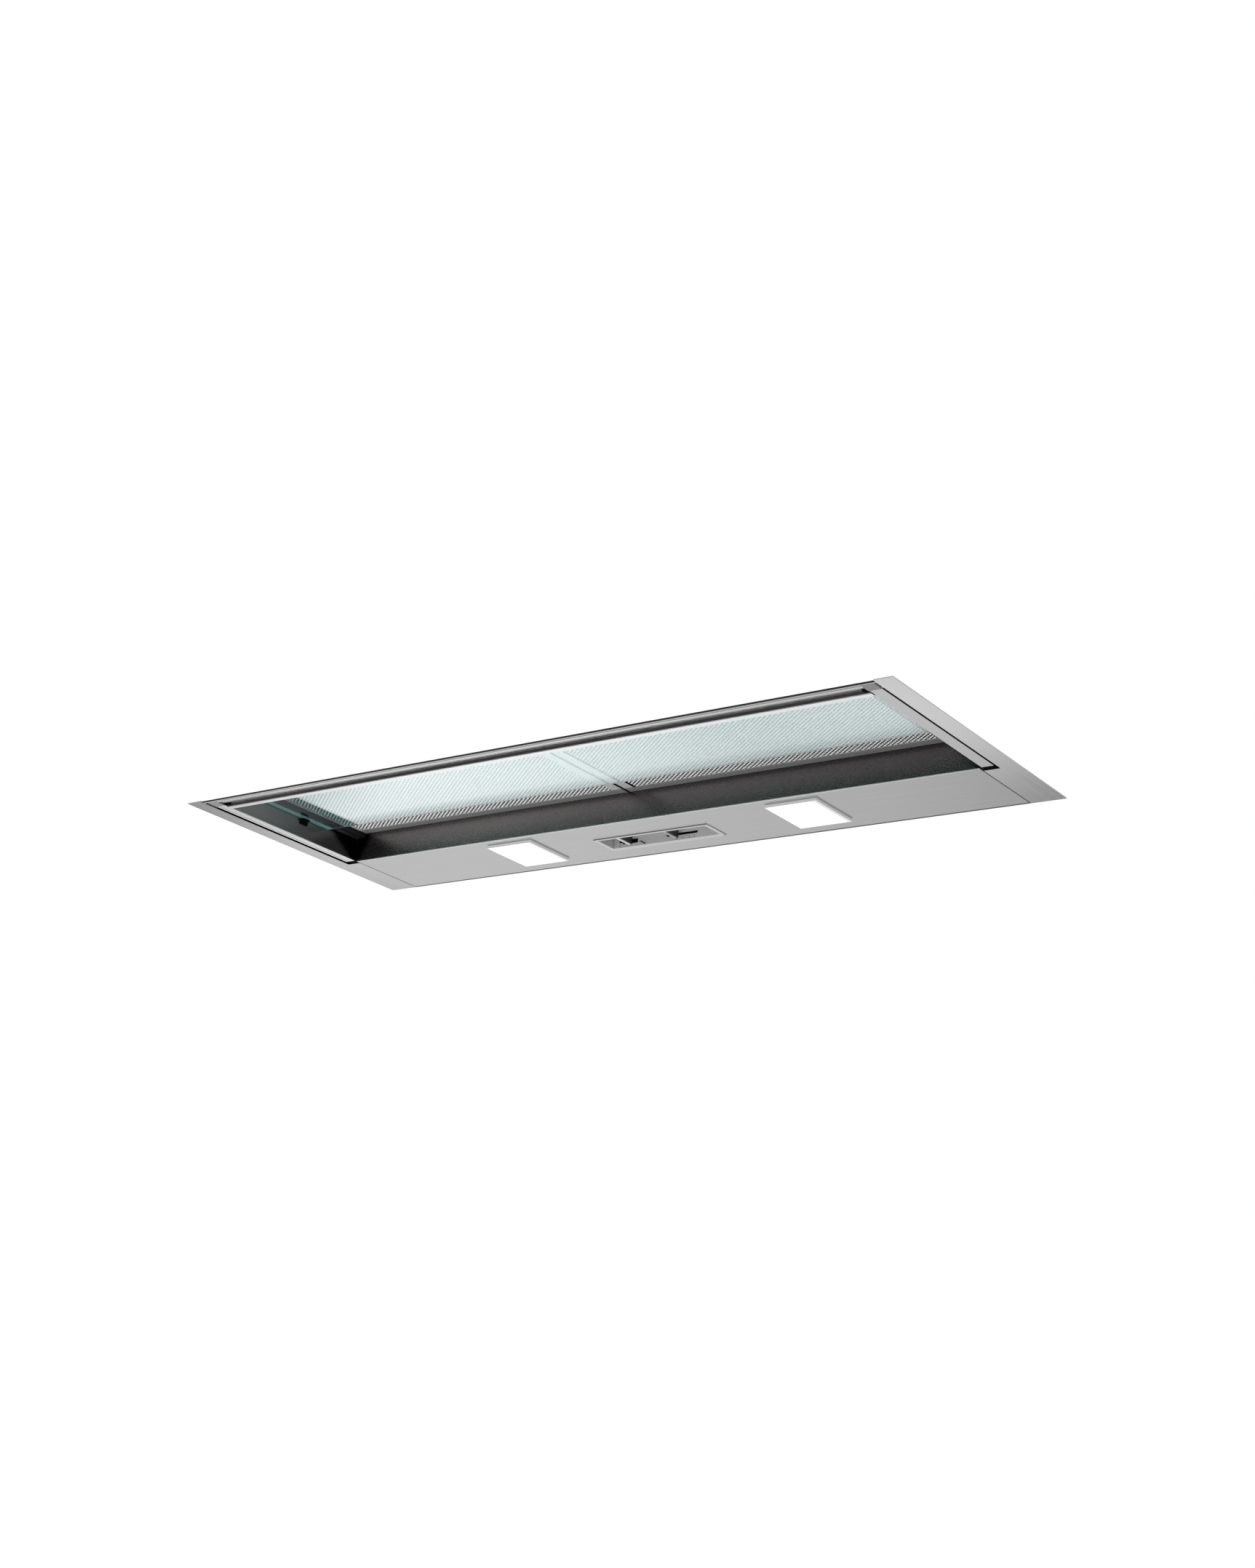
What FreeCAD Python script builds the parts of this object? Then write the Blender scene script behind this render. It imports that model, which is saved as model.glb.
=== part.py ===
import FreeCAD, Part
import math
import os
import types

import Sketcher

# Slide-out range hood, built into the bottom of a wall cabinet.
# X runs across the hood, Y from the pull bar at the front to the wall, Z up from the trim's underside.
# Lengths are millimetres. A rake is a plain ratio and a count is a plain number.
SIZES = {
    # Trim frame and control panel
    "width": 898.0,
    "depth": 338.0,
    "trim_sheet": 1.0,
    "strip_width": 20.0,
    "seam_inset": 38.5,
    "seam_gap": 0.5,
    "shelf_step": 6.0,
    "web_height": 15.0,
    "panel_depth": 106.0,
    "panel_flange": 20.0,
    "fixing_radius": 2.25,
    "fixing_step": 26.0,
    "fixing_pitch": 60.0,
    "fixing_level": 8.0,
    # Housing over the recess
    "body_sheet": 1.0,
    "roof_depth": 46.3,
    "side_rake": 0.795,
    "front_clear": 5.4,
    "mouth_clear": 1.8,
    "canopy_top": 140.0,
    "panel_fit": 0.2,
    # Recess wall and filters
    "filter_level": 33.2,
    "recess_foot": 9.0,
    "recess_shelf": 13.0,
    "baffle_gap": 1.0,
    "baffle_rise": 2.0,
    "ledge_depth": 12.0,
    "filter_clear": 0.5,
    "filter_shift": 26.0,
    "filter_height": 3.5,
    "filter_rim": 12.5,
    "filter_side_rim": 4.5,
    "filter_rear_rim": 10.8,
    "filter_split": 1.2,
    "filter_rear_gap": 0.5,
    "seat_gap": 0.2,
    "net_sheet": 1.2,
    "net_pitch_across": 19.0,
    "net_pitch_deep": 14.0,
    "net_strand": 2.2,
    "tab_width": 30.0,
    "tab_sheet": 1.5,
    "tab_reach": 10.0,
    "tab_offset": 120.0,
    # Visor that slides out
    "rail_start": 23.5,
    "rail_end": 36.5,
    "rail_level": 0.75,
    "visor_sheet": 0.8,
    "visor_drop": 1.0,
    "corner_gap": 1.5,
    "upright_inset": 29.2,
    "upright_top": 14.5,
    "seal_depth": 6.2,
    "seal_nose": 0.3,
    "bead_end": 13.0,
    "bead_lift": 1.5,
    "groove_start": 17.5,
    "groove_end": 24.2,
    "groove_roof": 6.0,
    "lip_end": 31.7,
    "bar_clear": 1.5,
    "bar_wall": 2.0,
    "cap_front": 7.0,
    "cap_end": 21.0,
    "cap_level": 0.3,
    "glass_level": 22.8,
    "glass_sheet": 4.0,
    "bare_band": 51.4,
    "glass_grip": 10.0,
    "grip_wall": 1.1,
    "clip_setback": 44.6,
    "clip_width": 10.5,
    "clip_reach": 4.5,
    "clip_height": 6.0,
    "clip_jaw": 1.7,
    # Ball runners
    "runner_start": 32.0,
    "runner_setback": 4.0,
    "runner_sheet": 1.0,
    "runner_bottom": 4.0,
    "runner_height": 11.0,
    "runner_depth": 6.0,
    "ball_radius": 0.95,
    "ball_gap": 0.05,
    "ball_rows": 4.0,
    "cage_sheet": 0.6,
    "cage_length": 44.0,
    "cage_start": 108.0,
    "ball_inset": 24.5,
    "inner_edge": 23.0,
    "stop_height": 8.0,
    "stop_depth": 6.5,
    "stop_foot": 8.0,
    # Lamps
    "lamp_offset": 187.0,
    "lamp_width": 62.5,
    "lamp_depth": 70.5,
    "lamp_step": 46.75,
    "lamp_proud": 3.0,
    "lamp_lip": 2.0,
    "lamp_neck": 4.0,
    "lamp_fit": 0.3,
    "lamp_box_wall": 2.0,
    "lamp_box_height": 17.0,
    "lamp_corner": 2.0,
    # Slide controls
    "control_middle": -12.0,
    "bezel_width": 152.5,
    "bezel_step": 38.3,
    "bezel_depth": 38.0,
    "bezel_sheet": 0.8,
    "pocket_width": 143.0,
    "pocket_step": 3.7,
    "pocket_depth": 28.0,
    "pocket_roof": 13.0,
    "pocket_lean": 1.0,
    "tub_wall": 1.5,
    "slot_level": 4.3,
    "slot_height": 3.1,
    "slot_fit": 0.4,
    "knob_width": 3.0,
    "knob_step": 0.6,
    "knob_bottom": 2.0,
    "knob_top": 10.0,
    "knob_depth": 33.4,
    "light_rest": -59.5,
    "light_slot_start": -76.0,
    "light_slot_end": -53.5,
    "fan_rest": 3.4,
    "fan_slot_start": -11.0,
    "fan_slot_end": 30.5,
    "switch_depth": 16.0,
    "switch_height": 14.0,
    "switch_margin": 4.0,
    # Blower
    "axis_setback": 60.0,
    "axis_drop": 62.0,
    "scroll_radius": 40.0,
    "scroll_step": 3.0,
    "scroll_width": 110.0,
    "scroll_wall": 1.5,
    "mouth_rise": 14.0,
    "inlet_radius": 30.0,
    "inlet_roll": 3.0,
    "inlet_depth": 9.0,
    "wheel_radius": 36.0,
    "wheel_bore": 29.0,
    "wheel_gap": 10.0,
    "wheel_disc": 1.5,
    "wheel_hub": 10.0,
    "hub_length": 20.0,
    "blade_count": 24.0,
    "blade_sheet": 0.8,
    "blade_radius": 9.0,
    "blade_centre": 30.5,
    "shaft_radius": 4.0,
    "shaft_fit": 0.3,
    "motor_radius": 31.0,
    "motor_length": 58.0,
    "motor_flange": 37.0,
    "motor_plate": 3.0,
    "motor_boss": 13.0,
    "motor_boss_length": 6.0,
    # Outlet
    "box_depth": 16.0,
    "box_width": 128.0,
    "box_bottom": 12.0,
    "box_drop": 6.0,
    "collar_radius": 60.0,
    "collar_wall": 2.0,
    "collar_length": 30.0,
    "collar_drop": 66.0,
    "collar_flange": 128.0,
    "collar_plate": 2.0,
    "pin_radius": 2.0,
    "pin_setback": 9.0,
    "flap_sheet": 1.2,
    "flap_gap": 1.5,
    "knuckle_radius": 3.4,
    "knuckle_fit": 0.2,
    "knuckle_gap": 0.5,
    # Electrical pieces
    "terminal_gap": 29.75,
    "terminal_width": 80.0,
    "terminal_step": 24.0,
    "terminal_depth": 58.0,
    "terminal_height": 32.0,
    "terminal_wall": 2.0,
    "lid_sheet": 2.5,
    "gland_inset": 219.0,
    "gland_level": 55.0,
    "gland_radius": 8.0,
    "gland_nut": 12.0,
    "gland_reach": 14.0,
    "gland_bore": 4.5,
    "capacitor_gap": 41.75,
    "capacitor_length": 62.0,
    "capacitor_radius": 14.0,
    "capacitor_step": 68.0,
    "strap_width": 12.0,
    "strap_sheet": 1.2,
}

doc = FreeCAD.newDocument("range_hood")
sheet = doc.addObject("Spreadsheet::Sheet", "Sizes")
for row, (alias, number) in enumerate(SIZES.items(), 1):
    sheet.set(f"A{row}", alias)
    sheet.set(f"B{row}", str(number))
    sheet.setAlias(f"B{row}", alias)
doc.recompute()


# A length that keeps both its number and the sheet formula it comes from
class Term:
    def __init__(self, value, text):
        self.value = value
        self.text = text

    def joined(self, sign, other, value):
        return Term(value, f"({self.text} {sign} {term(other).text})")

    def __add__(self, other):
        return self.joined("+", other, self.value + term(other).value)

    def __sub__(self, other):
        return self.joined("-", other, self.value - term(other).value)

    def __mul__(self, other):
        return self.joined("*", other, self.value * term(other).value)

    def __truediv__(self, other):
        return self.joined("/", other, self.value / term(other).value)

    def __radd__(self, other):
        return term(other) + self

    def __rsub__(self, other):
        return term(other) - self

    def __rmul__(self, other):
        return term(other) * self

    def __rtruediv__(self, other):
        return term(other) / self

    def __neg__(self):
        return Term(-self.value, f"(0 - {self.text})")


def term(thing):
    if isinstance(thing, Term):
        return thing
    return Term(float(thing), f"({float(thing)})")


def root(thing):
    return Term(math.sqrt(thing.value), f"sqrt({thing.text})")


size = types.SimpleNamespace(**{alias: Term(number, f"Sizes.{alias}") for alias, number in SIZES.items()})
half_width = size.width / 2
nodes = []
cuts = []


# Every piece is drawn from the front edge and the trim plane, then shifted to the hood's own origin
def place(made):
    made.setExpression("Placement.Base.y", (-(size.depth + size.collar_length) / 2).text)
    made.setExpression("Placement.Base.z", size.lamp_proud.text)


def helper(label):
    made = doc.addObject("PartDesign::Body", label)
    made.Label = label
    return made


def piece(label):
    made = helper(label)
    place(made)
    nodes.append(made)
    return made


def hold(sketch, kind, geometry, point, reach):
    reach = term(reach)
    index = sketch.addConstraint(Sketcher.Constraint(kind, -1, 1, geometry, point, reach.value))
    sketch.setExpression(f"Constraints[{index}]", reach.text)


# A closed outline: straight edges, or round ones where bends gives an edge its centre and turn
def add_outline(sketch, points, bends):
    first = sketch.GeometryCount
    count = len(points)
    spots = [FreeCAD.Vector(term(u).value, term(v).value, 0) for u, v in points]
    heads = []
    for i in range(count):
        start, end = spots[i], spots[(i + 1) % count]
        if i not in bends:
            sketch.addGeometry(Part.LineSegment(start, end), False)
            heads.append((1, 2))
            continue
        u, v, turn = bends[i]
        middle = FreeCAD.Vector(term(u).value, term(v).value, 0)
        if turn < 0:
            start, end = end, start
        angles = [math.atan2(p.y - middle.y, p.x - middle.x) for p in (start, end)]
        circle = Part.Circle(middle, FreeCAD.Vector(0, 0, 1), start.distanceToPoint(middle))
        if angles[1] < angles[0]:
            angles[1] += 2 * math.pi
        sketch.addGeometry(Part.ArcOfCircle(circle, *angles), False)
        heads.append((1, 2) if turn > 0 else (2, 1))
    for i in range(count):
        j = (i + 1) % count
        joint = Sketcher.Constraint("Coincident", first + i, heads[i][1], first + j, heads[j][0])
        sketch.addConstraint(joint)
    for i, (u, v) in enumerate(points):
        hold(sketch, "DistanceX", first + i, heads[i][0], u)
        hold(sketch, "DistanceY", first + i, heads[i][0], v)
    for i, (u, v, turn) in bends.items():
        flat = abs(spots[i].x - spots[(i + 1) % count].x) > abs(spots[i].y - spots[(i + 1) % count].y)
        hold(sketch, "DistanceY" if flat else "DistanceX", first + i, 3, v if flat else u)


def add_circle(sketch, u, v, radius):
    middle = FreeCAD.Vector(term(u).value, term(v).value, 0)
    circle = Part.Circle(middle, FreeCAD.Vector(0, 0, 1), term(radius).value)
    first = sketch.addGeometry(circle, False)
    hold(sketch, "DistanceX", first, 3, u)
    hold(sketch, "DistanceY", first, 3, v)
    index = sketch.addConstraint(Sketcher.Constraint("Radius", first, term(radius).value))
    sketch.setExpression(f"Constraints[{index}]", term(radius).text)


PLANES = {"x": "YZ_Plane", "y": "XZ_Plane", "z": "XY_Plane"}


def attach(made, feature, role):
    plane = next(f for f in made.Origin.OriginFeatures if f.Role == role)
    feature.AttachmentSupport = [(plane, "")]
    feature.MapMode = "FlatFace"


# A sketch square to an axis, in the order (y, z), (x, z) or (x, y); a triple is a circle
def draw(made, axis, level, outlines, bends, centre):
    sketch = made.newObject("Sketcher::SketchObject", made.Label + "_sketch")
    attach(made, sketch, PLANES[axis])
    level = term(level)
    sketch.setExpression("AttachmentOffset.Base.z", (-level if axis == "y" else level).text)
    for way, reach in zip("xy", centre):
        sketch.setExpression("AttachmentOffset.Base." + way, term(reach).text)
    for outline in outlines:
        if isinstance(outline, tuple):
            add_circle(sketch, *outline)
        else:
            add_outline(sketch, outline, bends)
    return sketch


def pad(made, axis, start, end, *outlines, bends=None, centre=(0, 0)):
    sketch = draw(made, axis, end if axis == "y" else start, outlines, bends or {}, centre)
    feature = made.newObject("PartDesign::Pad", made.Label + "_pad")
    feature.Profile = sketch
    feature.setExpression("Length", (term(end) - start).text)
    return feature


def pocket(made, axis, start, end, *outlines, bends=None):
    sketch = draw(made, axis, start if axis == "y" else end, outlines, bends or {}, (0, 0))
    feature = made.newObject("PartDesign::Pocket", made.Label + "_pocket")
    feature.Profile = sketch
    feature.setExpression("Length", (term(end) - start).text)
    cuts.append(feature)
    return feature


def fillet(made, radius, chosen):
    doc.recompute()
    base = made.Tip
    names = [f"Edge{i}" for i, edge in enumerate(base.Shape.Edges, 1) if chosen(edge)]
    feature = made.newObject("PartDesign::Fillet", made.Label + "_fillet")
    feature.Base = (base, names)
    feature.setExpression("Radius", radius.text)
    return feature


# An edge that runs straight along an axis
def along(edge, axis):
    if edge.Curve.TypeId != "Part::GeomLine":
        return False
    return abs(edge.tangentAt(edge.FirstParameter)["xyz".index(axis)]) > 0.999


def box(u0, u1, v0, v1):
    return [(u0, v0), (u1, v0), (u1, v1), (u0, v1)]


# Places measured inwards from the hood's left (-1) or right (+1) edge
def inset(side, reach):
    return side * (half_width - reach)


def across(side, near, far):
    ends = (inset(side, near), inset(side, far))
    return ends if side < 0 else ends[::-1]


SIDES = (("left", -1), ("right", 1))

# The panel and what it carries keep their distance from the wall
panel_start = size.depth - size.panel_depth
shelf_start = panel_start + size.shelf_step
fixing_first = panel_start + size.fixing_step
lamp_middle = panel_start + size.lamp_step
lamp_side = size.lamp_offset + size.lamp_width / 2 + size.lamp_box_wall
bezel_front = panel_start + size.bezel_step
bezel_back = bezel_front + size.bezel_depth
pocket_front = bezel_front + size.pocket_step
pocket_back = pocket_front + size.pocket_depth
knob_front = pocket_front + size.knob_step
knob_stem = knob_front + size.knob_depth
switch_back = pocket_back + size.switch_depth
terminal_front = panel_start + size.terminal_step
capacitor_y = panel_start + size.capacitor_step

# The blower and the outlet hang from the housing's roof at the wall
axis_y = size.depth - size.axis_setback
axis_z = size.canopy_top - size.axis_drop
collar_level = size.canopy_top - size.collar_drop
box_top = size.canopy_top - size.box_drop
box_end = size.depth - size.trim_sheet - size.body_sheet
box_start = box_end - size.box_depth
gland_x = inset(-1, size.gland_inset)

# The housing rakes up from the trim's edges, so its inside at a level sets the room for what is under it
front_rake = size.canopy_top / (size.depth - size.roof_depth)
front_slant = root(1 + front_rake * front_rake)
side_slant = root(1 + size.side_rake * size.side_rake)


def front_room(level):
    return (level + size.body_sheet * front_slant) / front_rake + size.panel_fit


def side_room(level):
    return (level + size.body_sheet * side_slant) / size.side_rake + size.panel_fit


filter_top = size.filter_level + size.filter_height
filter_front = front_room(filter_top) + size.front_clear
filter_start = side_room(filter_top) + size.filter_clear
filter_end = filter_start + size.filter_shift
filter_width = (size.width - filter_start - filter_end) / 2 - size.filter_split
canopy_front = front_room(size.filter_level) + size.front_clear - size.body_sheet

# The glass sets the height of the visor's side walls, the pull bar's grip and the housing's mouth
glass_top = size.glass_level + size.glass_sheet
glass_back = panel_start - size.bare_band
glass_inset = size.rail_end + size.seat_gap * 2
clip_start = glass_back - size.clip_setback
visor_top = glass_top - size.visor_drop
bar_inset = size.rail_end + size.seam_gap
bar_top = glass_top + size.seat_gap + size.grip_wall
bar_back = bar_top / front_rake + size.bar_wall * 2 + size.bar_clear
canopy_mouth = glass_top + size.mouth_clear
recess_inset = size.rail_end + size.seat_gap
runner_end = panel_start - size.runner_setback


# Side trims: flat strip, wider behind the visor, with an upright web that is screwed to the cabinet
def side_trim(name, side):
    made = piece("side_trim_" + name)
    shelf_edge = size.seam_inset - size.seam_gap
    strip = [(term(0), 0), (size.strip_width, 0), (size.strip_width, shelf_start)]
    strip += [(shelf_edge, shelf_start), (shelf_edge, size.depth), (term(0), size.depth)]
    pad(made, "z", 0, size.trim_sheet, [(inset(side, reach), y) for reach, y in strip])
    start, end = across(side, size.strip_width - size.trim_sheet, size.strip_width)
    web = [(size.seal_depth, 0), (size.seal_depth, size.seal_depth * front_rake)]
    web += [(size.web_height / front_rake, size.web_height)]
    web += [(size.depth, size.web_height), (size.depth, 0)]
    pad(made, "x", start, end, web)
    second = fixing_first + size.fixing_pitch
    holes = [(y, size.fixing_level, size.fixing_radius) for y in (fixing_first, second)]
    pocket(made, "x", start, end, *holes)


# Control panel: sheet with openings for both lamps and the slide controls, turned up at the wall
def lamp_outline(side, grow):
    x = size.lamp_offset * side
    wide = size.lamp_width / 2 - size.lamp_lip + grow
    deep = size.lamp_depth / 2 - size.lamp_lip + grow
    return box(x - wide, x + wide, lamp_middle - deep, lamp_middle + deep)


def control_panel():
    made = piece("control_panel")
    reach = half_width - size.seam_inset
    tub = size.pocket_width / 2 + size.tub_wall + size.lamp_fit
    opening = box(
        size.control_middle - tub,
        size.control_middle + tub,
        pocket_front - size.tub_wall - size.lamp_fit,
        pocket_back + size.tub_wall + size.lamp_fit,
    )
    lamps = [lamp_outline(side, size.lamp_fit) for _, side in SIDES]
    pad(made, "z", 0, size.trim_sheet, box(-reach, reach, panel_start, size.depth), *lamps, opening)
    pad(made, "y", size.depth - size.trim_sheet, size.depth, box(-reach, reach, 0, size.panel_flange))


# Recess wall: upright from the panel to the filters, with a foot and a shelf folded back
def recess_wall():
    made = piece("recess_wall")
    foot_top = size.trim_sheet + size.body_sheet
    shelf_top = size.filter_level + size.body_sheet
    face = panel_start
    rear = face + size.body_sheet
    outline = [(face, size.trim_sheet), (face, shelf_top), (face + size.recess_shelf, shelf_top)]
    outline += [(face + size.recess_shelf, size.filter_level), (rear, size.filter_level), (rear, foot_top)]
    heel = face + size.recess_foot
    outline += [(heel, foot_top), (heel, size.trim_sheet)]
    reach = half_width - recess_inset
    pad(made, "x", -reach, reach, outline)
    for _, side in SIDES:
        corner = [(inset(side, side_room(0)), 0), (inset(side, side_room(shelf_top)), shelf_top)]
        corner += [(half_width * side, shelf_top), (half_width * side, 0)]
        pocket(made, "y", face, face + size.recess_shelf, corner)


# Housing: hipped sheet-steel shell, raked at the front and both sides, open below and at the wall
def hip_body(label, front, back, bottom, top, front_drop, side_drop):
    made = helper(label)
    rise = front_rake * front - front_drop
    roof_start = (top + front_drop) / front_rake
    profile = [(front, bottom), (front, rise), (roof_start, top), (back, top), (back, bottom)]
    pad(made, "x", -half_width, half_width, profile)
    low = half_width - (bottom + side_drop) / size.side_rake
    high = half_width - (top + side_drop) / size.side_rake
    far = half_width * 2
    for side in (-1, 1):
        wedge = [(side * low, bottom), (side * high, top), (side * far, top), (side * far, bottom)]
        pocket(made, "y", 0, size.depth * 2, wedge)
    return made


def canopy_shell():
    sheet_in = size.body_sheet
    outer = hip_body("canopy_outside", canopy_front, size.depth, size.web_height, size.canopy_top, 0, 0)
    inner = hip_body(
        "canopy_inside",
        canopy_front + sheet_in,
        size.depth + sheet_in,
        size.web_height - sheet_in,
        size.canopy_top - sheet_in,
        sheet_in * front_slant,
        sheet_in * side_slant,
    )
    mouth = helper("canopy_slot")
    slot = box(canopy_front - sheet_in, canopy_front + sheet_in * 2, 0, canopy_mouth)
    pad(mouth, "x", -half_width, half_width, slot)
    hollow = doc.addObject("Part::Fuse", "canopy_hollow")
    hollow.Base = inner
    hollow.Tool = mouth
    made = doc.addObject("Part::Cut", "canopy_shell")
    made.Base = outer
    made.Tool = hollow
    place(made)
    nodes.append(made)


# Rear panel: closes the housing against the wall, with holes for the outlet and the cable gland
def rear_panel():
    made = piece("rear_panel")
    drop = size.body_sheet * side_slant
    top = size.canopy_top - size.body_sheet - size.panel_fit
    low = half_width - size.strip_width - size.panel_fit
    knee = size.side_rake * (size.strip_width + size.panel_fit) - drop - size.panel_fit
    high = half_width - (top + drop) / size.side_rake - size.panel_fit
    outline = [(-low, size.trim_sheet), (low, size.trim_sheet), (low, knee)]
    outline += [(high, top), (-high, top), (-low, knee)]
    end = size.depth - size.trim_sheet
    outlet = (term(0), collar_level, size.collar_radius - size.collar_wall)
    gland = (gland_x, size.gland_level, size.gland_radius)
    pad(made, "y", end - size.body_sheet, end, outline, outlet, gland)


# Grease filters: two of one size side by side, measured from the hood's left edge
def filter_span(side):
    seam = inset(-1, filter_start + filter_width + size.filter_split)
    ends = (seam + size.filter_split * side, seam + (size.filter_split + filter_width) * side)
    return ends if side > 0 else ends[::-1]


# Baffles close the gap between the filters and the housing on either side
def baffle(name, side):
    made = piece("side_baffle_" + name)
    low = canopy_mouth + size.seat_gap
    fold = low + size.body_sheet
    high = size.filter_level + size.baffle_rise
    edge = filter_span(side)[0 if side < 0 else 1]
    face = edge + size.baffle_gap * side
    rear = face + size.body_sheet * side
    far = inset(side, side_room(fold))
    outline = [(far, low), (face, low), (face, high), (rear, high), (rear, fold), (far, fold)]
    pad(made, "y", canopy_front + size.body_sheet, panel_start - size.seat_gap, outline)


# Ledge along the front that the filters' front edges rest on
def filter_ledge():
    made = piece("filter_ledge")
    front = canopy_front + size.body_sheet
    top = size.filter_level - size.seat_gap
    leg = front + size.body_sheet
    outline = [(front, canopy_mouth), (leg, canopy_mouth), (leg, top - size.body_sheet)]
    nose = front + size.ledge_depth
    outline += [(nose, top - size.body_sheet), (nose, top), (front, top)]
    pad(made, "x", filter_span(-1)[0], filter_span(1)[1], outline)


filter_back = panel_start - size.filter_rear_gap


# Opening of a filter: broad rims at the seam and the front, narrower at the back, a fold at the outer side
def filter_opening(side):
    x0, x1 = filter_span(side)
    rims = (size.filter_side_rim, size.filter_rim)[::-side]
    return x0 + rims[0], x1 - rims[1], filter_front + size.filter_rim, filter_back - size.filter_rear_rim


# An aluminium rim with two rear tabs, and an expanded net held inside it
def filter_rim(name, side):
    made = piece("filter_frame_" + name)
    x0, x1 = filter_span(side)
    low = size.filter_level
    outer = box(x0, x1, filter_front, filter_back)
    pad(made, "z", low, filter_top, outer, box(*filter_opening(side)))
    tab_low = low + size.body_sheet + size.seat_gap
    middle = (x0 + x1) / 2
    for step in (-1, 1):
        x = middle + size.tab_offset * step
        start, end = filter_back - size.filter_rear_rim / 2, filter_back + size.tab_reach
        tab = box(x - size.tab_width / 2, x + size.tab_width / 2, start, end)
        pad(made, "z", tab_low, tab_low + size.tab_sheet, tab)


def filter_net(name, side):
    x0, x1, y0, y1 = (end.value for end in filter_opening(side))
    gap = SIZES["seat_gap"]
    x0, x1, y0, y1 = x0 + gap, x1 - gap, y0 + gap, y1 - gap
    low = SIZES["filter_level"] + (SIZES["filter_height"] - SIZES["net_sheet"]) / 2
    step_x, step_y, strand = SIZES["net_pitch_across"], SIZES["net_pitch_deep"], SIZES["net_strand"]
    across_count = int((x1 - x0 - strand) // step_x)
    deep_count = int((y1 - y0 - strand) // step_y)
    wide = (step_x - strand) / 2
    deep = (step_y - strand) / 2
    holes = []
    for row in range(2 * deep_count - 1):
        stagger = row % 2
        for column in range(across_count - stagger):
            x = (x0 + x1) / 2 + (column - (across_count - 1 - stagger) / 2) * step_x
            y = (y0 + y1) / 2 + (row - (deep_count - 1)) * step_y / 2
            corners = [(x - wide, y), (x, y - deep), (x + wide, y), (x, y + deep), (x - wide, y)]
            holes.append(Part.makePolygon([FreeCAD.Vector(u, v, low) for u, v in corners]))
    edge = [(x0, y0), (x1, y0), (x1, y1), (x0, y1), (x0, y0)]
    rim = Part.makePolygon([FreeCAD.Vector(u, v, low) for u, v in edge])
    face = Part.makeFace([rim] + holes, "Part::FaceMakerBullseye")
    made = doc.addObject("Part::Feature", "filter_net_" + name)
    made.Shape = face.extrude(FreeCAD.Vector(0, 0, SIZES["net_sheet"]))
    place(made)
    nodes.append(made)


# Visor side: flat rail below, an upright wall beside the glass, and an upright that carries the runner
def visor_side(name, side):
    made = piece("visor_side_" + name)
    low = size.rail_level
    back = panel_start - size.corner_gap
    rail = box(size.rail_start, size.rail_end, low, low + size.visor_sheet)
    pad(made, "y", size.cap_end, back, [(inset(side, u), v) for u, v in rail])
    wall = [(size.lip_end, low), (size.lip_end, size.lip_end * front_rake)]
    wall += [(visor_top / front_rake, visor_top), (back, visor_top), (back, low)]
    pad(made, "x", *across(side, size.rail_end - size.visor_sheet, size.rail_end), wall)
    inside = size.upright_inset + size.visor_sheet
    upright = box(size.upright_inset, inside, low, size.upright_top)
    pad(made, "y", size.runner_start, runner_end, [(inset(side, u), v) for u, v in upright])


# Pull bar: a bead along the front, a finger groove, a flat lip and a web that leans up to grip the glass
def visor_bar():
    made = piece("visor_front_bar")
    grip_low = size.glass_level - size.seat_gap
    grip_high = glass_top + size.seat_gap
    slot = bar_back - size.bar_wall + size.seat_gap
    bead_low = size.bead_lift + size.cap_level
    middle = (size.seal_depth + size.bead_end) / 2
    half = (size.bead_end - size.seal_depth) / 2
    centre = bead_low + (half * half - size.bead_lift * size.bead_lift) / (2 * size.bead_lift)
    web_foot = size.visor_sheet
    web_rake = (grip_low - size.grip_wall - web_foot) / (bar_back - size.lip_end)
    web_top = web_foot + size.bar_wall * root(1 + web_rake * web_rake)
    shank = slot - size.bar_wall
    block = size.groove_roof + size.bar_wall
    profile = [(size.seal_depth, bead_low), (size.bead_end, bead_low), (size.groove_start, bead_low)]
    profile += [(size.groove_start, size.groove_roof), (size.groove_end, size.groove_roof)]
    profile += [(size.groove_end, 0), (size.lip_end, 0), (size.lip_end, web_foot)]
    profile += [(bar_back, grip_low - size.grip_wall)]
    profile += [(bar_back, grip_low), (slot, grip_low), (slot, grip_high), (bar_back, grip_high)]
    profile += [(bar_back, bar_top), (shank, bar_top), (shank, web_top + web_rake * (shank - size.lip_end))]
    profile += [(size.lip_end, web_top), (size.groove_end + size.bar_wall, web_top)]
    profile += [(size.groove_end + size.bar_wall, block), (block / front_rake, block)]
    profile += [(size.seal_depth, size.seal_depth * front_rake)]
    reach = half_width - bar_inset
    pad(made, "x", -reach, reach, profile, bends={0: (middle, centre, 1)})
    for low in (grip_low - size.grip_wall, grip_high):
        jaw = box(slot, slot + size.glass_grip, low, low + size.grip_wall)
        pad(made, "x", -reach, reach, jaw)


def front_cap(name, side):
    made = piece("front_cap_" + name)
    outline = [(size.cap_front, size.cap_level), (size.cap_end, size.cap_level)]
    outline += [(size.cap_end, size.cap_end * front_rake - size.cap_level)]
    outline += [(size.cap_front, size.cap_front * front_rake - size.cap_level)]
    start, end = across(side, size.rail_start, bar_inset)
    pad(made, "x", start, end, outline)
    fillet(made, size.cap_level, lambda edge: along(edge, "x"))


def front_seal():
    made = piece("front_seal")
    top = size.seal_depth * front_rake - size.seal_nose
    outline = [(0, 0), (size.seal_depth, 0), (size.seal_depth, top), (size.seal_nose * 2, size.seal_nose)]
    reach = half_width - size.strip_width - size.seam_gap
    pad(made, "x", -reach, reach, outline)


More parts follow.
